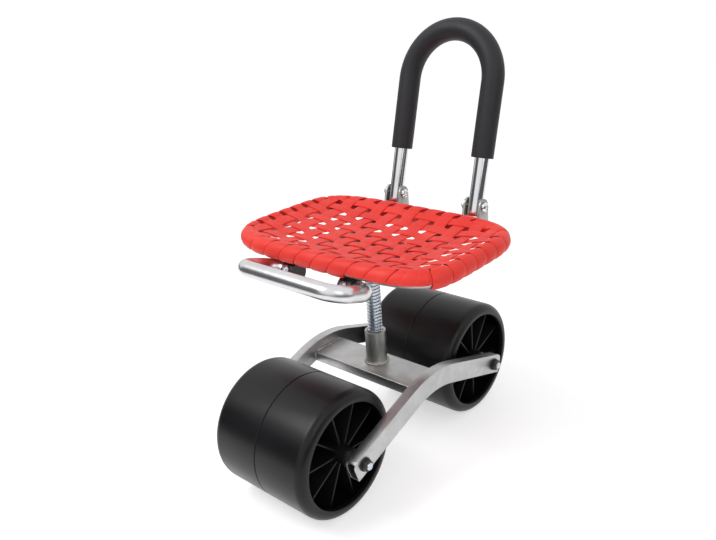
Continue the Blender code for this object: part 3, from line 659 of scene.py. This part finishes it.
# Base: rails and beam with rounded corners, welds, sleeve, axles and nuts
for side_name, side in SIDES:
    node = "rail_" + side_name
    work = softened(node, RAIL_EDGE, TUBE_EDGE_SEGMENTS)
    # Painted shade: the rail's inner walls take the dark material, so that its open ends look dark
    shade_inside(work, RAIL_HEIGHT)
    rail = add_piece(node + "_tube", work, GALVANISED, "base", [node], TUBE_SHARP)
    rail.data.materials.append(DARK_STEEL_AND_SHADE)
work = softened("cross_beam", BEAM_EDGE, TUBE_EDGE_SEGMENTS)
add_piece("cross_beam_tube", work, GALVANISED, "base", ["cross_beam"], TUBE_SHARP)


def bead_size(share, ripples, swing):
    """How thick a weld bead is at a share of its way, as it swells and shrinks with each ripple."""
    return 1.0 - swing + swing * math.cos(2 * math.pi * ripples * share)


def weld_line(work, start, end, radius):
    """A rippled bead between two points of a joint that lies across X."""
    length = (end - start).length
    count = max(WELD_LEAST_STEPS, int(length / WELD_RIPPLE * WELD_STEPS))
    along = (end - start).normalized()
    side = Vector((1.0, 0.0, 0.0))
    turn = Matrix((side, along.cross(side), along)).transposed().to_4x4()
    places = []
    for step in range(count + 1):
        share = step / count
        fade = min(1.0, WELD_FADE * share + WELD_TIP, WELD_FADE * (1.0 - share) + WELD_TIP)
        size = radius * bead_size(share, length / WELD_RIPPLE, BEAM_WELD_SWING) * fade
        place = Matrix.Translation(start.lerp(end, share)) @ turn
        places.append(place @ Matrix.Diagonal((size, size, 1.0, 1.0)))
    sweep(work, circle_section(1.0, WELD_SIDES), places)


beam_low, beam_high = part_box("cross_beam")
work = bmesh.new()
for side_name, side in SIDES:
    x = side * (beam_high.x - WELD_SINK)
    rear = Vector((x, beam_high.y - WELD_INSET, beam_high.z))
    weld_line(work, Vector((x, beam_low.y + WELD_INSET, beam_high.z)), rear, TOP_WELD_RADIUS)
    for y in (beam_low.y, beam_high.y):
        top = Vector((x, y, beam_high.z - WELD_INSET / 2))
        weld_line(work, Vector((x, y, beam_low.z + WELD_INSET)), top, SIDE_WELD_RADIUS)
add_piece("beam_welds", work, WELD, "base", (), SOFT_SHARP)

sleeve_low, sleeve_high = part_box("screw_sleeve")
sleeve_top = sleeve_high.z - sleeve_low.z
sleeve_place = Matrix.Translation((middle_of("screw_sleeve").x, middle_of("screw_sleeve").y, sleeve_low.z))
work = bmesh.new()
profile = [(SLEEVE_BORE, sleeve_top - SLEEVE_EDGE), (SLEEVE_BORE + SLEEVE_EDGE, sleeve_top)]
profile += arc_points((SLEEVE_RADIUS - SLEEVE_EDGE, sleeve_top - SLEEVE_EDGE), SLEEVE_EDGE, 90, 0, 3)
profile += [(SLEEVE_RADIUS + flare, height) for flare, height in SLEEVE_FOOT]
profile += [(SLEEVE_BORE, 0.0)]
spin_profile(work, profile, SLEEVE_STEPS, True)
move(work, sleeve_place)
add_piece("screw_sleeve_tube", work, RAW_STEEL, "base", ["screw_sleeve"])


def weld_ring(work):
    """A rippled bead round the foot of the sleeve."""
    steps = SLEEVE_WELD_RIPPLES * WELD_STEPS
    upright = Matrix.Rotation(math.pi / 2, 4, "X")
    foot = Matrix.Translation((SLEEVE_WELD_RADIUS, 0.0, SLEEVE_WELD_HEIGHT)) @ upright
    places = []
    for step in range(steps):
        around = Matrix.Rotation(2 * math.pi * step / steps, 4, "Z")
        size = SLEEVE_WELD_SIZE * bead_size(step / steps, SLEEVE_WELD_RIPPLES, SLEEVE_WELD_SWING)
        places.append(around @ foot @ Matrix.Diagonal((size, size, 1.0, 1.0)))
    sweep(work, circle_section(1.0, WELD_SIDES), places, closed=True)


work = bmesh.new()
weld_ring(work)
move(work, sleeve_place)
add_piece("sleeve_weld", work, WELD, "base", (), SOFT_SHARP)


def hex_nut(corner_radius, height):
    """A six-sided nut along Z from zero, with rounded corners."""
    work = bmesh.new()
    bmesh.ops.create_cone(work, cap_ends=True, segments=6, radius1=corner_radius, radius2=corner_radius,
                          depth=height, matrix=Matrix.Translation((0.0, 0.0, height / 2)))
    bevel_edges(work, list(work.edges), NUT_EDGE, 3)
    return work


def add_washer(work, inner, outer):
    """A flat washer along Z from zero."""
    top = WASHER_THICKNESS
    edge = WASHER_EDGE
    profile = [(inner, top), (outer - edge, top), (outer, top - edge)]
    profile += [(outer, edge), (outer - edge, 0.0), (inner, 0.0)]
    spin_profile(work, profile, BOLT_STEPS, True)


for end_name in ENDS:
    node = "axle_" + end_name
    low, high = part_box(node)
    middle = middle_of(node)
    radius = (high.z - low.z) / 2
    half = (high.x - low.x) / 2
    face_radius = radius - AXLE_CHAMFER
    shank_half = half - AXLE_CHAMFER
    work = bmesh.new()
    profile = [(0.0, half), (face_radius, half), (radius, shank_half)]
    profile += [(radius, -shank_half), (face_radius, -half), (0.0, -half)]
    spin_profile(work, profile, BOLT_STEPS, False)
    move(work, Matrix.Translation(middle) @ ALONG_X)
    add_piece(node + "_rod", work, ZINC, "base", [node])
    for side_name, side in SIDES:
        nut = "axle_nut_" + end_name + "_" + side_name
        low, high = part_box(nut)
        corner_radius = (high.z - low.z) / 2
        work = hex_nut(corner_radius, high.x - low.x - WASHER_THICKNESS)
        move(work, Matrix.Translation((0.0, 0.0, WASHER_THICKNESS)))
        add_washer(work, radius, corner_radius * WASHER_SHARE)
        start = low.x if side > 0 else high.x
        place = Matrix.Translation((start, middle.y, middle.z))
        move(work, place @ Matrix.Rotation(side * math.pi / 2, 4, "Y"))
        add_piece(nut + "_hex", work, DARK_STEEL_AND_SHADE, "base", [nut])
        spacer = "spacer_" + end_name + "_" + side_name
        add_piece(spacer + "_bush", softened(spacer, SPACER_EDGE), ZINC, "base", [spacer])


# Height screw: a helical thread round a closed core
def thread_rod(length):
    work = bmesh.new()
    root = SCREW_RADIUS - THREAD_DEPTH
    crest = SCREW_PITCH * CREST_SHARE
    flank = SCREW_PITCH * FLANK_SHARE
    turns = int(length / SCREW_PITCH) - 1
    outline = [(root, 0.0), (SCREW_RADIUS, flank), (SCREW_RADIUS, flank + crest)]
    outline += [(root, 2 * flank + crest), (root, SCREW_PITCH)]
    corners = [work.verts.new((radius, 0.0, height)) for radius, height in outline]
    edges = [work.edges.new(pair) for pair in zip(corners, corners[1:])]
    bmesh.ops.spin(work, geom=corners + edges, cent=(0, 0, 0), axis=(0, 0, 1), angle=2 * math.pi * turns,
                   steps=THREAD_STEPS * turns, dvec=(0.0, 0.0, SCREW_PITCH / THREAD_STEPS))
    core = root + CORE_LAP
    top = length - CORE_SHORT
    profile = [(0.0, top), (core, top), (core, SCREW_TIP), (root - SCREW_TIP, 0.0), (0.0, 0.0)]
    spin_profile(work, profile, THREAD_STEPS, False)
    return work


low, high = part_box("height_screw")
work = thread_rod(high.z - low.z)
move(work, Matrix.Translation((middle_of("height_screw").x, middle_of("height_screw").y, low.z)))
add_piece("height_screw_thread", work, ZINC, "screw", ["height_screw"], THREAD_SHARP)


# Seat: frame tube, woven straps wrapped round it, corner wraps
def rim_side(across, half_along, half_across):
    """How far out the rim's middle line lies at a distance across the seat, and its outward direction."""
    share = min(abs(across) / half_across, RIM_SHARE_LIMIT)
    reach = half_along * (1.0 - share ** RIM_EXPONENT) ** (1.0 / RIM_EXPONENT)
    slope_across = math.copysign(share ** (RIM_EXPONENT - 1.0) / half_across, across)
    slope_along = (reach / half_along) ** (RIM_EXPONENT - 1.0) / half_along
    length = math.hypot(slope_across, slope_along)
    return reach, slope_across / length, slope_along / length


def squared_off(value, exponent):
    """A sine or cosine, bent so that a circle becomes a rounded square."""
    return math.copysign(abs(value) ** (2.0 / exponent), value)


def rim_spot(turn):
    x = squared_off(math.cos(turn), RIM_EXPONENT) * RIM_HALF[X]
    y = squared_off(math.sin(turn), RIM_EXPONENT) * RIM_HALF[Y]
    return Vector((x, y, 0.0))


def rim_path(count):
    """Evenly spaced points round the rim's middle line, from the middle of the right side."""
    turns = [2 * math.pi * (step + 0.5) / RIM_FINE_STEPS for step in range(RIM_FINE_STEPS)]
    points = [rim_spot(turn) for turn in turns]
    lengths = running_lengths(points)
    spaced = []
    index = 0
    for step in range(count):
        target = lengths[-1] * step / count
        while lengths[index + 1] < target:
            index += 1
        share = (target - lengths[index]) / (lengths[index + 1] - lengths[index])
        spaced.append(points[index].lerp(points[(index + 1) % RIM_FINE_STEPS], share))
    return spaced


def running_lengths(points):
    """The length along a closed path at each of its points, and at last all of it."""
    lengths = [0.0]
    for first, second in zip(points, points[1:] + points[:1]):
        lengths.append(lengths[-1] + (second - first).length)
    return lengths


RIM_POINTS = rim_path(RIM_STEPS)
RIM_LENGTHS = running_lengths(RIM_POINTS)
RIM_PLACES = places_along([SEAT_CENTRE + point for point in RIM_POINTS], UP, closed=True)

work = bmesh.new()
sweep(work, circle_section(RIM_TUBE_RADIUS, RIM_TUBE_SIDES), RIM_PLACES, closed=True)
add_piece("seat_frame_hoop", work, GALVANISED, "seat", ["seat_frame_tube"])


def strap_section():
    """A flat strap with rounded edges, one unit wide and one unit thick."""
    section = []
    for step in range(STRAP_SIDES):
        turn = 2 * math.pi * (step + 0.5) / STRAP_SIDES
        u = 0.5 * squared_off(math.cos(turn), STRAP_EXPONENT)
        section.append((u, 0.5 * squared_off(math.sin(turn), STRAP_EXPONENT)))
    return section


def ease(value):
    value = min(1.0, max(0.0, value))
    return value * value * (3.0 - 2.0 * value)


def flat_crested(wave):
    """A wave between -1 and 1, with its crests flattened."""
    return wave * (1.5 - 0.5 * wave * wave)


def field_sag(x, y):
    """How far the woven field hangs below its edge."""
    share_x = abs(x) / (RIM_HALF[X] - FIELD_INSET)
    share_y = abs(y) / (RIM_HALF[Y] - FIELD_INSET)
    share = (share_x ** RIM_EXPONENT + share_y ** RIM_EXPONENT) ** (1.0 / RIM_EXPONENT)
    return FIELD_SAG * (1.0 - min(share, 1.0) ** SAG_EXPONENT)


def wrap_lean(turn, slant):
    """How far a slanting wrap has moved along the rim, at its angle round the tube."""
    return slant * (1.0 - turn / WRAP_TOP)


class Strap:
    """One woven strap: it goes over and under the others, and may wrap round the rim at its ends."""

    def __init__(self, index, lengthwise):
        self.lengthwise = lengthwise
        across, along = (X, Y) if lengthwise else (Y, X)
        self.pitch = STRAP_PITCH[across]
        self.cross_pitch = STRAP_PITCH[along]
        widths = OUTER_WIDTH if abs(index) == OUTER_INDEX[across] else STRAP_WIDTH
        self.width = widths[across]
        self.across = self.pitch * index
        self.half_along = RIM_HALF[along]
        self.half_across = RIM_HALF[across]
        self.over = 1 if (index + across) % 2 == 0 else -1
        self.feet = {-1: None, 1: None}
        self.slant = {-1: 0.0, 1: 0.0}

    def place(self, across, along, height):
        if self.lengthwise:
            return SEAT_CENTRE + Vector((across, along, height))
        return SEAT_CENTRE + Vector((along, across, height))

    def field_spot(self, share, u, rise):
        """A point of the strap between the rims, at a share from one edge of the field to the other."""
        reach = rim_side(self.across, self.half_along, self.half_across)[0] - FIELD_INSET
        spare = reach * (1.0 - abs(share))
        across = self.across + u * self.width
        along = share * (rim_side(across, self.half_along, self.half_across)[0] - FIELD_INSET)
        wave = flat_crested(math.cos(math.pi * along / self.cross_pitch) * self.over)
        wave = wave * ease(spare / (WEAVE_CALM * self.cross_pitch))
        sag = field_sag(across, along) if self.lengthwise else field_sag(along, across)
        height = FIELD_HEIGHT - sag + WEAVE_SWING * wave + rise * STRAP_THICKNESS
        return self.place(across, along, height)

    def wrap_spot(self, end, turn, u, rise):
        """A point of the strap on the rim, at an angle round the frame tube."""
        flare = ease((WRAP_TOP - turn) / WRAP_FLARE) if self.feet[end] is not None else 0.0
        wide = self.width + (self.pitch - WRAP_GROOVE - self.width) * flare
        across = self.across + wrap_lean(turn, self.slant[end]) + u * wide
        reach, out_across, out_along = rim_side(across, self.half_along, self.half_across)
        bulge = flare * (WRAP_EXTRA + WRAP_BULGE * (1.0 - 4.0 * u * u))
        tuck = 1.0 - TUCK_SHARE * ease((TUCK_START - turn) / TUCK_TURN)
        radius = RIM_TUBE_RADIUS + WRAP_GAP + (0.5 + rise) * (STRAP_THICKNESS + bulge) * tuck
        outward = radius * math.cos(math.radians(turn))
        return self.place(across + outward * out_across, end * (reach + outward * out_along),
                          radius * math.sin(math.radians(turn)))

    def stations(self):
        """The steps along the strap, from the end of one wrap to the end of the other."""
        steps = int(2 * self.half_along / self.cross_pitch * STEPS_PER_CROSSING)
        field = [("field", 2.0 * step / steps - 1.0) for step in range(steps + 1)]
        wraps = {}
        for end in (-1, 1):
            foot = self.feet[end] if self.feet[end] is not None else WRAP_TOP - WRAP_STEP
            count = max(1, round((WRAP_TOP - foot) / WRAP_STEP))
            wraps[end] = [(end, WRAP_TOP + (foot - WRAP_TOP) * step / count) for step in range(count + 1)]
        return list(reversed(wraps[-1])) + field + wraps[1]

    def add_to(self, work):
        stations = self.stations()
        strip = bmesh.new()
        sweep(strip, strap_section(), [Matrix.Translation((0, 0, step)) for step in range(len(stations))])
        for vert in strip.verts:
            kind, value = stations[round(vert.co.z)]
            if kind == "field":
                vert.co = self.field_spot(value, vert.co.x, vert.co.y)
            else:
                vert.co = self.wrap_spot(kind, value, vert.co.x, vert.co.y)
        take_in(work, strip)


def rim_at(length):
    """The rim's middle line and its outward direction, at a length from the middle of the right side."""
    count = len(RIM_POINTS)
    place = length / RIM_LENGTHS[-1] * count
    index = math.floor(place)
    before = RIM_POINTS[index % count]
    after = RIM_POINTS[(index + 1) % count]
    along = (RIM_POINTS[(index + 2) % count] - RIM_POINTS[(index - 1) % count]).normalized()
    return before.lerp(after, place - index), along.cross(UP)


def rim_length(axis, value, sign):
    """The length along the rim where one coordinate has a value and the other has a sign."""
    here = [item for item, point in enumerate(RIM_POINTS) if point[1 - axis] * sign >= 0]
    best = min(here, key=lambda item: abs(RIM_POINTS[item][axis] - value))
    forward = 1 if (axis == 1) == (sign > 0) else -1
    return RIM_LENGTHS[best] + (value - RIM_POINTS[best][axis]) * forward


def slanting_end(x, sign):
    """A corner wrap's end beside a slanting wrap: its place on the rim follows the angle round the tube."""
    return lambda turn: rim_length(0, x + sign * wrap_lean(turn, WRAP_SLANT), sign)


def straight_end(sign_x, sign_y):
    """A corner wrap's end beside the last wrap of the left or right side."""
    length = rim_length(1, sign_y * (SIDE_WRAP + 0.5) * STRAP_PITCH[Y], sign_x)
    return lambda turn: length


def add_corner_wrap(work, start_of, end_of, foot):
    """The wide wrap over a seat corner, between two ends on the rim, creased and thinner at its edges."""
    turns = [foot + (CORNER_TOP - foot) * step / CORNER_TURNS for step in range(CORNER_TURNS + 1)]
    section = [(turn, 1.0) for turn in turns] + [(turn, 0.0) for turn in reversed(turns)]
    strip = bmesh.new()
    sweep(strip, section, [Matrix.Translation((0, 0, step)) for step in range(CORNER_STEPS + 1)])
    for vert in strip.verts:
        turn = vert.co.x
        share = round(vert.co.z) / CORNER_STEPS
        start = start_of(turn)
        point, outward = rim_at(start + (end_of(turn) - start) * share)
        edge = ease(min(share, 1.0 - share) / CORNER_SIDE)
        edge = edge * ease((CORNER_TOP + CORNER_LIP - turn) / CORNER_FADE)
        creases = sum(math.exp(-((share - spot) / CREASE_WIDTH) ** 2) for spot in CREASE_SPOTS)
        thick = STRAP_THICKNESS + WRAP_EXTRA + CORNER_EXTRA
        thick = thick * (CORNER_THIN + (1.0 - CORNER_THIN) * edge) * (1.0 - CREASE_DEPTH * creases)
        radius = RIM_TUBE_RADIUS + WRAP_GAP + vert.co.y * thick
        angle = math.radians(turn)
        vert.co = SEAT_CENTRE + point + radius * (outward * math.cos(angle) + UP * math.sin(angle))
    take_in(work, strip)


def band_section():
    """The thin band of strap between the frame tube and the wraps, over the upper part of the tube, dark
    red as painted shade.
    """
    inner = RIM_TUBE_RADIUS + BAND_GAP
    outer = inner + BAND_THICKNESS
    band = arc_points((0.0, 0.0), outer, 90.0 - BAND_START, 90.0 - BAND_END, BAND_STEPS)
    return band + arc_points((0.0, 0.0), inner, 90.0 - BAND_END, 90.0 - BAND_START, BAND_STEPS)


# The dark red band is painted shade, seen through the holes beside the rim
work = bmesh.new()
sweep(work, band_section(), RIM_PLACES, closed=True)
add_piece("edge_band", work, SHADE_BAND, "seat", (), SOFT_SHARP)

work = bmesh.new()
for index in range(-OUTER_INDEX[X], OUTER_INDEX[X] + 1):
    strap = Strap(index, True)
    if -NEAR_WRAP <= index <= FAR_WRAP:
        strap.feet[-1] = SHORT_FOOT if index > LAST_LONG_WRAP else WRAP_FOOT
        strap.slant[-1] = -WRAP_SLANT
    if -FAR_WRAP <= index <= NEAR_WRAP:
        strap.feet[1] = WRAP_FOOT
        strap.slant[1] = WRAP_SLANT
    strap.add_to(work)
for index in range(-OUTER_INDEX[Y], OUTER_INDEX[Y] + 1):
    strap = Strap(index, False)
    if abs(index) <= SIDE_WRAP:
        strap.feet = {-1: WRAP_FOOT, 1: WRAP_FOOT}
    strap.add_to(work)
near_x = (NEAR_WRAP + 0.5) * STRAP_PITCH[X]
far_x = (FAR_WRAP + 0.5) * STRAP_PITCH[X]
add_corner_wrap(work, straight_end(1, 1), slanting_end(near_x, 1), CORNER_FOOT)
add_corner_wrap(work, slanting_end(-far_x, 1), straight_end(-1, 1), CORNER_FOOT)
add_corner_wrap(work, straight_end(-1, -1), slanting_end(-near_x, -1), CORNER_FOOT)
add_corner_wrap(work, slanting_end(far_x, -1), straight_end(1, -1), SHORT_FOOT)
add_piece("woven_straps", work, RED_STRAP, "seat", ["seat_weave"], SOFT_SHARP)


# Steel under the seat
def darken_eye(work):
    """Gives the rolled eye of a bar, which holds the ring, and the disc in it the second material: they are
    black.
    """
    for face in work.faces:
        offset = face.calc_center_median() - RING_BACK
        if math.hypot(offset.y, offset.z) < EYE_RADIUS + EYE_MARGIN:
            face.material_index = 1


for side_name, side in SIDES:
    node = "seat_bar_" + side_name
    work = softened(node, BAR_EDGE)
    disc = Matrix.Translation((side * (RING_END_X - DISC_INSET), RING_BACK.y, RING_BACK.z))
    bmesh.ops.create_cone(work, cap_ends=True, segments=DISC_SIDES, radius1=EYE_RADIUS, radius2=EYE_RADIUS,
                          depth=DISC_THICKNESS, matrix=disc @ ALONG_X)
    # Only the eye and the disc in it take the dark material; the rest of the bar is galvanised
    darken_eye(work)
    bar = add_piece(node + "_strap", work, GALVANISED, "seat", [node])
    bar.data.materials.append(DARK_STEEL_AND_SHADE)
    node = "handle_bracket_" + side_name
    work = softened(node, BRACKET_EDGE)
    add_piece(node + "_clevis", work, RAW_STEEL, "seat", [node])
work = softened("seat_plate", PLATE_EDGE)
add_piece("seat_plate_steel", work, GALVANISED, "seat", ["seat_plate"])


def add_hollow(work, points, outer, inner, sides, side, edge):
    """An open tube along a flat path, its rims rounded by an edge width."""
    places = places_along(points, side)
    sweep(work, circle_section(outer, sides), places, caps=False)
    sweep(work, circle_section(inner, sides), places, caps=False)
    bmesh.ops.remove_doubles(work, verts=work.verts, dist=MERGE_DISTANCE)
    for place in (places[0], places[-1]):
        loose = [item for item in work.edges if item.is_boundary]
        rim = [item for item in loose if (item.verts[0].co - place.translation).length < outer * END_REACH]
        bmesh.ops.bridge_loops(work, edges=rim)
        bevel_edges(work, rim, edge, 3)


# Front ring: one bent tube, open at the back, with an end in each eye of the bars
def ring_points():
    bend_x = RING_HALF_X - RING_CORNER
    bend_y = RING_REACH - RING_CORNER
    flat = [(-RING_END_X, 0.0), (-RING_END_X - RING_STUB, 0.0)]
    bends = ((-bend_x, RING_CORNER), (-bend_x, bend_y), (bend_x, bend_y), (bend_x, RING_CORNER))
    for start, bend in zip((270, 180, 90, 0), bends):
        flat += arc_points(bend, RING_CORNER, start, start - 90, RING_CORNER_STEPS)
    flat += [(RING_END_X + RING_STUB, 0.0), (RING_END_X, 0.0)]
    turn = Matrix.Translation(RING_BACK) @ Matrix.Rotation(-RING_RISE, 4, "X")
    return [turn @ Vector((x, -y, 0.0)) for x, y in flat]


TUBE_BORE = TUBE_RADIUS - TUBE_WALL
RING_NORMAL = Matrix.Rotation(-RING_RISE, 3, "X") @ UP

work = bmesh.new()
add_hollow(work, ring_points(), TUBE_RADIUS, TUBE_BORE, TUBE_SIDES, RING_NORMAL, TUBE_EDGE)
add_piece("front_ring_tube", work, SATIN_CHROME, "seat", ["front_ring"])


# Handle: bent tube with open ends, and the foam grip over its arch
def handle_points(start, steps):
    top = HANDLE_REACH - HANDLE_HALF_SPAN
    leg = [start + (top - start) * share for share in LEG_SHARES]
    flat = [(-HANDLE_HALF_SPAN, height) for height in leg]
    flat += arc_points((0.0, top), HANDLE_HALF_SPAN, 180, 0, steps)
    flat += [(HANDLE_HALF_SPAN, height) for height in reversed(leg)]
    turn = Matrix.Translation(HANDLE_PIVOT) @ Matrix.Rotation(-HANDLE_LEAN, 4, "X")
    return [turn @ Vector((x, 0.0, z)) for x, z in flat]


HANDLE_SIDE = Matrix.Rotation(-HANDLE_LEAN, 3, "X") @ Vector((0, 1, 0))

work = bmesh.new()
points = handle_points(-HANDLE_TAIL, HANDLE_STEPS)
add_hollow(work, points, TUBE_RADIUS, TUBE_BORE, TUBE_SIDES, HANDLE_SIDE, TUBE_EDGE)
add_piece("handle_hoop", work, CHROME, "handle", ["handle_tube"])
work = bmesh.new()
points = handle_points(GRIP_START, GRIP_STEPS)
add_hollow(work, points, GRIP_RADIUS, TUBE_RADIUS + GRIP_GAP, GRIP_SIDES, HANDLE_SIDE, GRIP_EDGE)
grip = add_piece("foam_grip", work, FOAM, "handle", ["handle_grip"])


# Bolts: domed heads with a socket, on the ring's eyes and the handle's pivots
def dome_bolt(head_radius, head_height, shank_radius, shank_length):
    """A bolt along Z: its shank runs down from zero and its domed head stands above."""
    work = bmesh.new()
    floor = head_height * SOCKET_FLOOR
    profile = [(0.0, floor), (head_radius * SOCKET_SHARE, floor), (head_radius * SOCKET_MOUTH, head_height)]
    for angle in DOME_ANGLES:
        turn = math.radians(angle)
        profile.append((head_radius * math.cos(turn), HEAD_RIM + (head_height - HEAD_RIM) * math.sin(turn)))
    profile += [(head_radius, HEAD_EDGE), (head_radius - HEAD_EDGE, 0.0)]
    profile += [(shank_radius, 0.0), (shank_radius, -shank_length), (0.0, -shank_length)]
    spin_profile(work, profile, BOLT_STEPS, False)
    return work


def pivot_place(x):
    """On the handle's pivot axis, with a bolt's Z axis turned along X."""
    return Matrix.Translation((x, HANDLE_PIVOT.y, HANDLE_PIVOT.z)) @ ALONG_X


ring_bolt_place = Matrix.Rotation(RING_BOLT_TURN, 4, "X") @ Matrix.Translation(UP * RING_BOLT_REACH)
for side_name, side in SIDES:
    node = "ring_bolt_" + side_name
    eye = Matrix.Translation((middle_of(node).x, RING_BACK.y, RING_BACK.z))
    work = dome_bolt(RING_HEAD_RADIUS, RING_HEAD_HEIGHT, RING_SHANK_RADIUS, RING_SHANK_LENGTH)
    move(work, eye @ ring_bolt_place)
    add_piece(node + "_dome", work, ZINC, "seat", [node])
    node = "pivot_bolt_" + side_name
    low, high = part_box(node)
    head_start = high.x - PIVOT_HEAD_HEIGHT
    work = dome_bolt(PIVOT_HEAD_RADIUS, PIVOT_HEAD_HEIGHT, PIVOT_SHANK_RADIUS, head_start - low.x)
    move(work, pivot_place(head_start))
    add_piece(node + "_dome", work, CHROME, "seat", [node])
    node = "pivot_nut_" + side_name
    low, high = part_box(node)
    work = hex_nut((high.z - low.z) / 2, high.x - low.x)
    move(work, pivot_place(low.x))
    add_piece(node + "_hex", work, ZINC, "seat", [node])


# Stage: white floor and backdrop, soft lights and the camera of the photograph
def math_node(tree, operation, first, second):
    node = add_node(tree, "Math")
    node.operation = operation
    tree.links.new(first, node.inputs[0])
    tree.links.new(second, node.inputs[1])
    return node.outputs[0]


def show_either(tree, share, first, second, output):
    """Puts a mix of two shaders on the tree's output."""
    either = add_node(tree, "MixShader")
    tree.links.new(share, either.inputs[0])
    tree.links.new(first, either.inputs[1])
    tree.links.new(second, either.inputs[2])
    tree.links.new(either.outputs[0], tree.nodes[output].inputs["Surface"])


def seen_rays(tree):
    """One for the rays that show the backdrop, and one for the mirrored rays among them."""
    path = add_node(tree, "LightPath")
    mirrored = path.outputs["Is Glossy Ray"]
    direct = math_node(tree, "MAXIMUM", path.outputs["Is Camera Ray"], path.outputs["Is Transmission Ray"])
    return math_node(tree, "MAXIMUM", direct, mirrored), mirrored


def dark_share(tree, place, mirrored, low, high):
    """How dark the room is for a mirrored ray: it darkens towards two sides, from low to high."""
    shares = []
    for side in DARK_SIDES:
        toward = add_node(tree, "VectorMath")
        toward.operation = "DOT_PRODUCT"
        toward.inputs[1].default_value = side
        tree.links.new(place, toward.inputs[0])
        share = add_node(tree, "MapRange", **{"From Min": low, "From Max": high})
        share.interpolation_type = "SMOOTHSTEP"
        tree.links.new(toward.outputs["Value"], share.inputs["Value"])
        shares.append(share.outputs["Result"])
    darker = math_node(tree, "MAXIMUM", shares[0], shares[1])
    return math_node(tree, "MULTIPLY", darker, mirrored)


def add_floor():
    """A pale floor that keeps the shadow, glows for the rays that show it and has the dark sides."""
    work = bmesh.new()
    bmesh.ops.create_grid(work, x_segments=1, y_segments=1, size=FLOOR_HALF)
    mesh = bpy.data.meshes.new("paper_floor")
    work.to_mesh(mesh)
    work.free()
    floor = add_object("paper_floor", mesh)
    floor.location.z = -FLOOR_DROP
    finish = Finish("paper_white", metallic=0.0, specular=0.1)
    cloud = finish.noise(3.0, 2.0)
    finish.base(finish.ramp(cloud, [(0.0, FLOOR_DARKER), (1.0, FLOOR_LIGHTER)]))
    finish.roughness(finish.noise(40.0, 2.0), low=0.85, high=0.95)
    tree = finish.tree
    seen, mirrored = seen_rays(tree)
    glow = add_node(tree, "Emission", Color=FLOOR_GLOW)
    tree.links.new(seen, glow.inputs["Strength"])
    pale = add_node(tree, "AddShader")
    tree.links.new(finish.shader.outputs[0], pale.inputs[0])
    tree.links.new(glow.outputs[0], pale.inputs[1])
    gloom = add_node(tree, "Emission", Color=DARK_ROOM)
    dark = dark_share(tree, finish.place, mirrored, DARK_FLOOR_NEAR, DARK_FLOOR_FAR)
    show_either(tree, dark, pale.outputs[0], gloom.outputs[0], "Material Output")
    mesh.materials.append(finish.material)
    floor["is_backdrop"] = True


def add_light(name, spot, aim, size, power):
    data = bpy.data.lights.new(name, "AREA")
    data.shape = "RECTANGLE"
    data.size, data.size_y = size
    data.energy = power
    light = add_object(name, data)
    light.location = spot
    light.rotation_euler = (Vector(aim) - Vector(spot)).to_track_quat("-Z", "Y").to_euler()


def add_world():
    """A plain white backdrop over an even light, with two darker sides low down for mirrored rays."""
    world = bpy.data.worlds.new("studio")
    bpy.context.scene.world = world
    world.use_nodes = True
    tree = world.node_tree
    light = tree.nodes["Background"]
    light.inputs["Color"].default_value = WHITE
    light.inputs["Strength"].default_value = WORLD_LIGHT
    seen, mirrored = seen_rays(tree)
    place = add_node(tree, "TexCoord").outputs["Generated"]
    shade = add_node(tree, "Mix")
    shade.data_type = "RGBA"
    shade.inputs[MIX_FIRST].default_value = WHITE
    shade.inputs[MIX_SECOND].default_value = DARK_ROOM
    dark = dark_share(tree, place, mirrored, DARK_EDGE, DARK_CORE)
    tree.links.new(dark, shade.inputs[MIX_SHARE])
    backdrop = add_node(tree, "Background")
    tree.links.new(shade.outputs[MIX_COLOUR], backdrop.inputs["Color"])
    show_either(tree, seen, light.outputs[0], backdrop.outputs[0], "World Output")


def add_camera():
    data = bpy.data.cameras.new("photo_camera")
    data.sensor_fit = "HORIZONTAL"
    data.sensor_width = SENSOR_WIDTH
    data.lens = FOCAL_PIXELS / PHOTO_WIDTH * SENSOR_WIDTH
    camera = add_object("photo_camera", data)
    around = Matrix.Translation(CAMERA_SPOT) @ Matrix.Rotation(CAMERA_AZIMUTH, 4, "Z")
    tilted = around @ Matrix.Rotation(math.pi / 2 - CAMERA_ELEVATION, 4, "X")
    camera.matrix_world = tilted @ Matrix.Rotation(CAMERA_ROLL, 4, "Z")
    bpy.context.scene.camera = camera


add_floor()
add_world()
add_light("key", **KEY_LIGHT)
add_light("fill", **FILL_LIGHT)
add_camera()
bpy.context.scene.view_settings.view_transform = "Standard"

low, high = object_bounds()
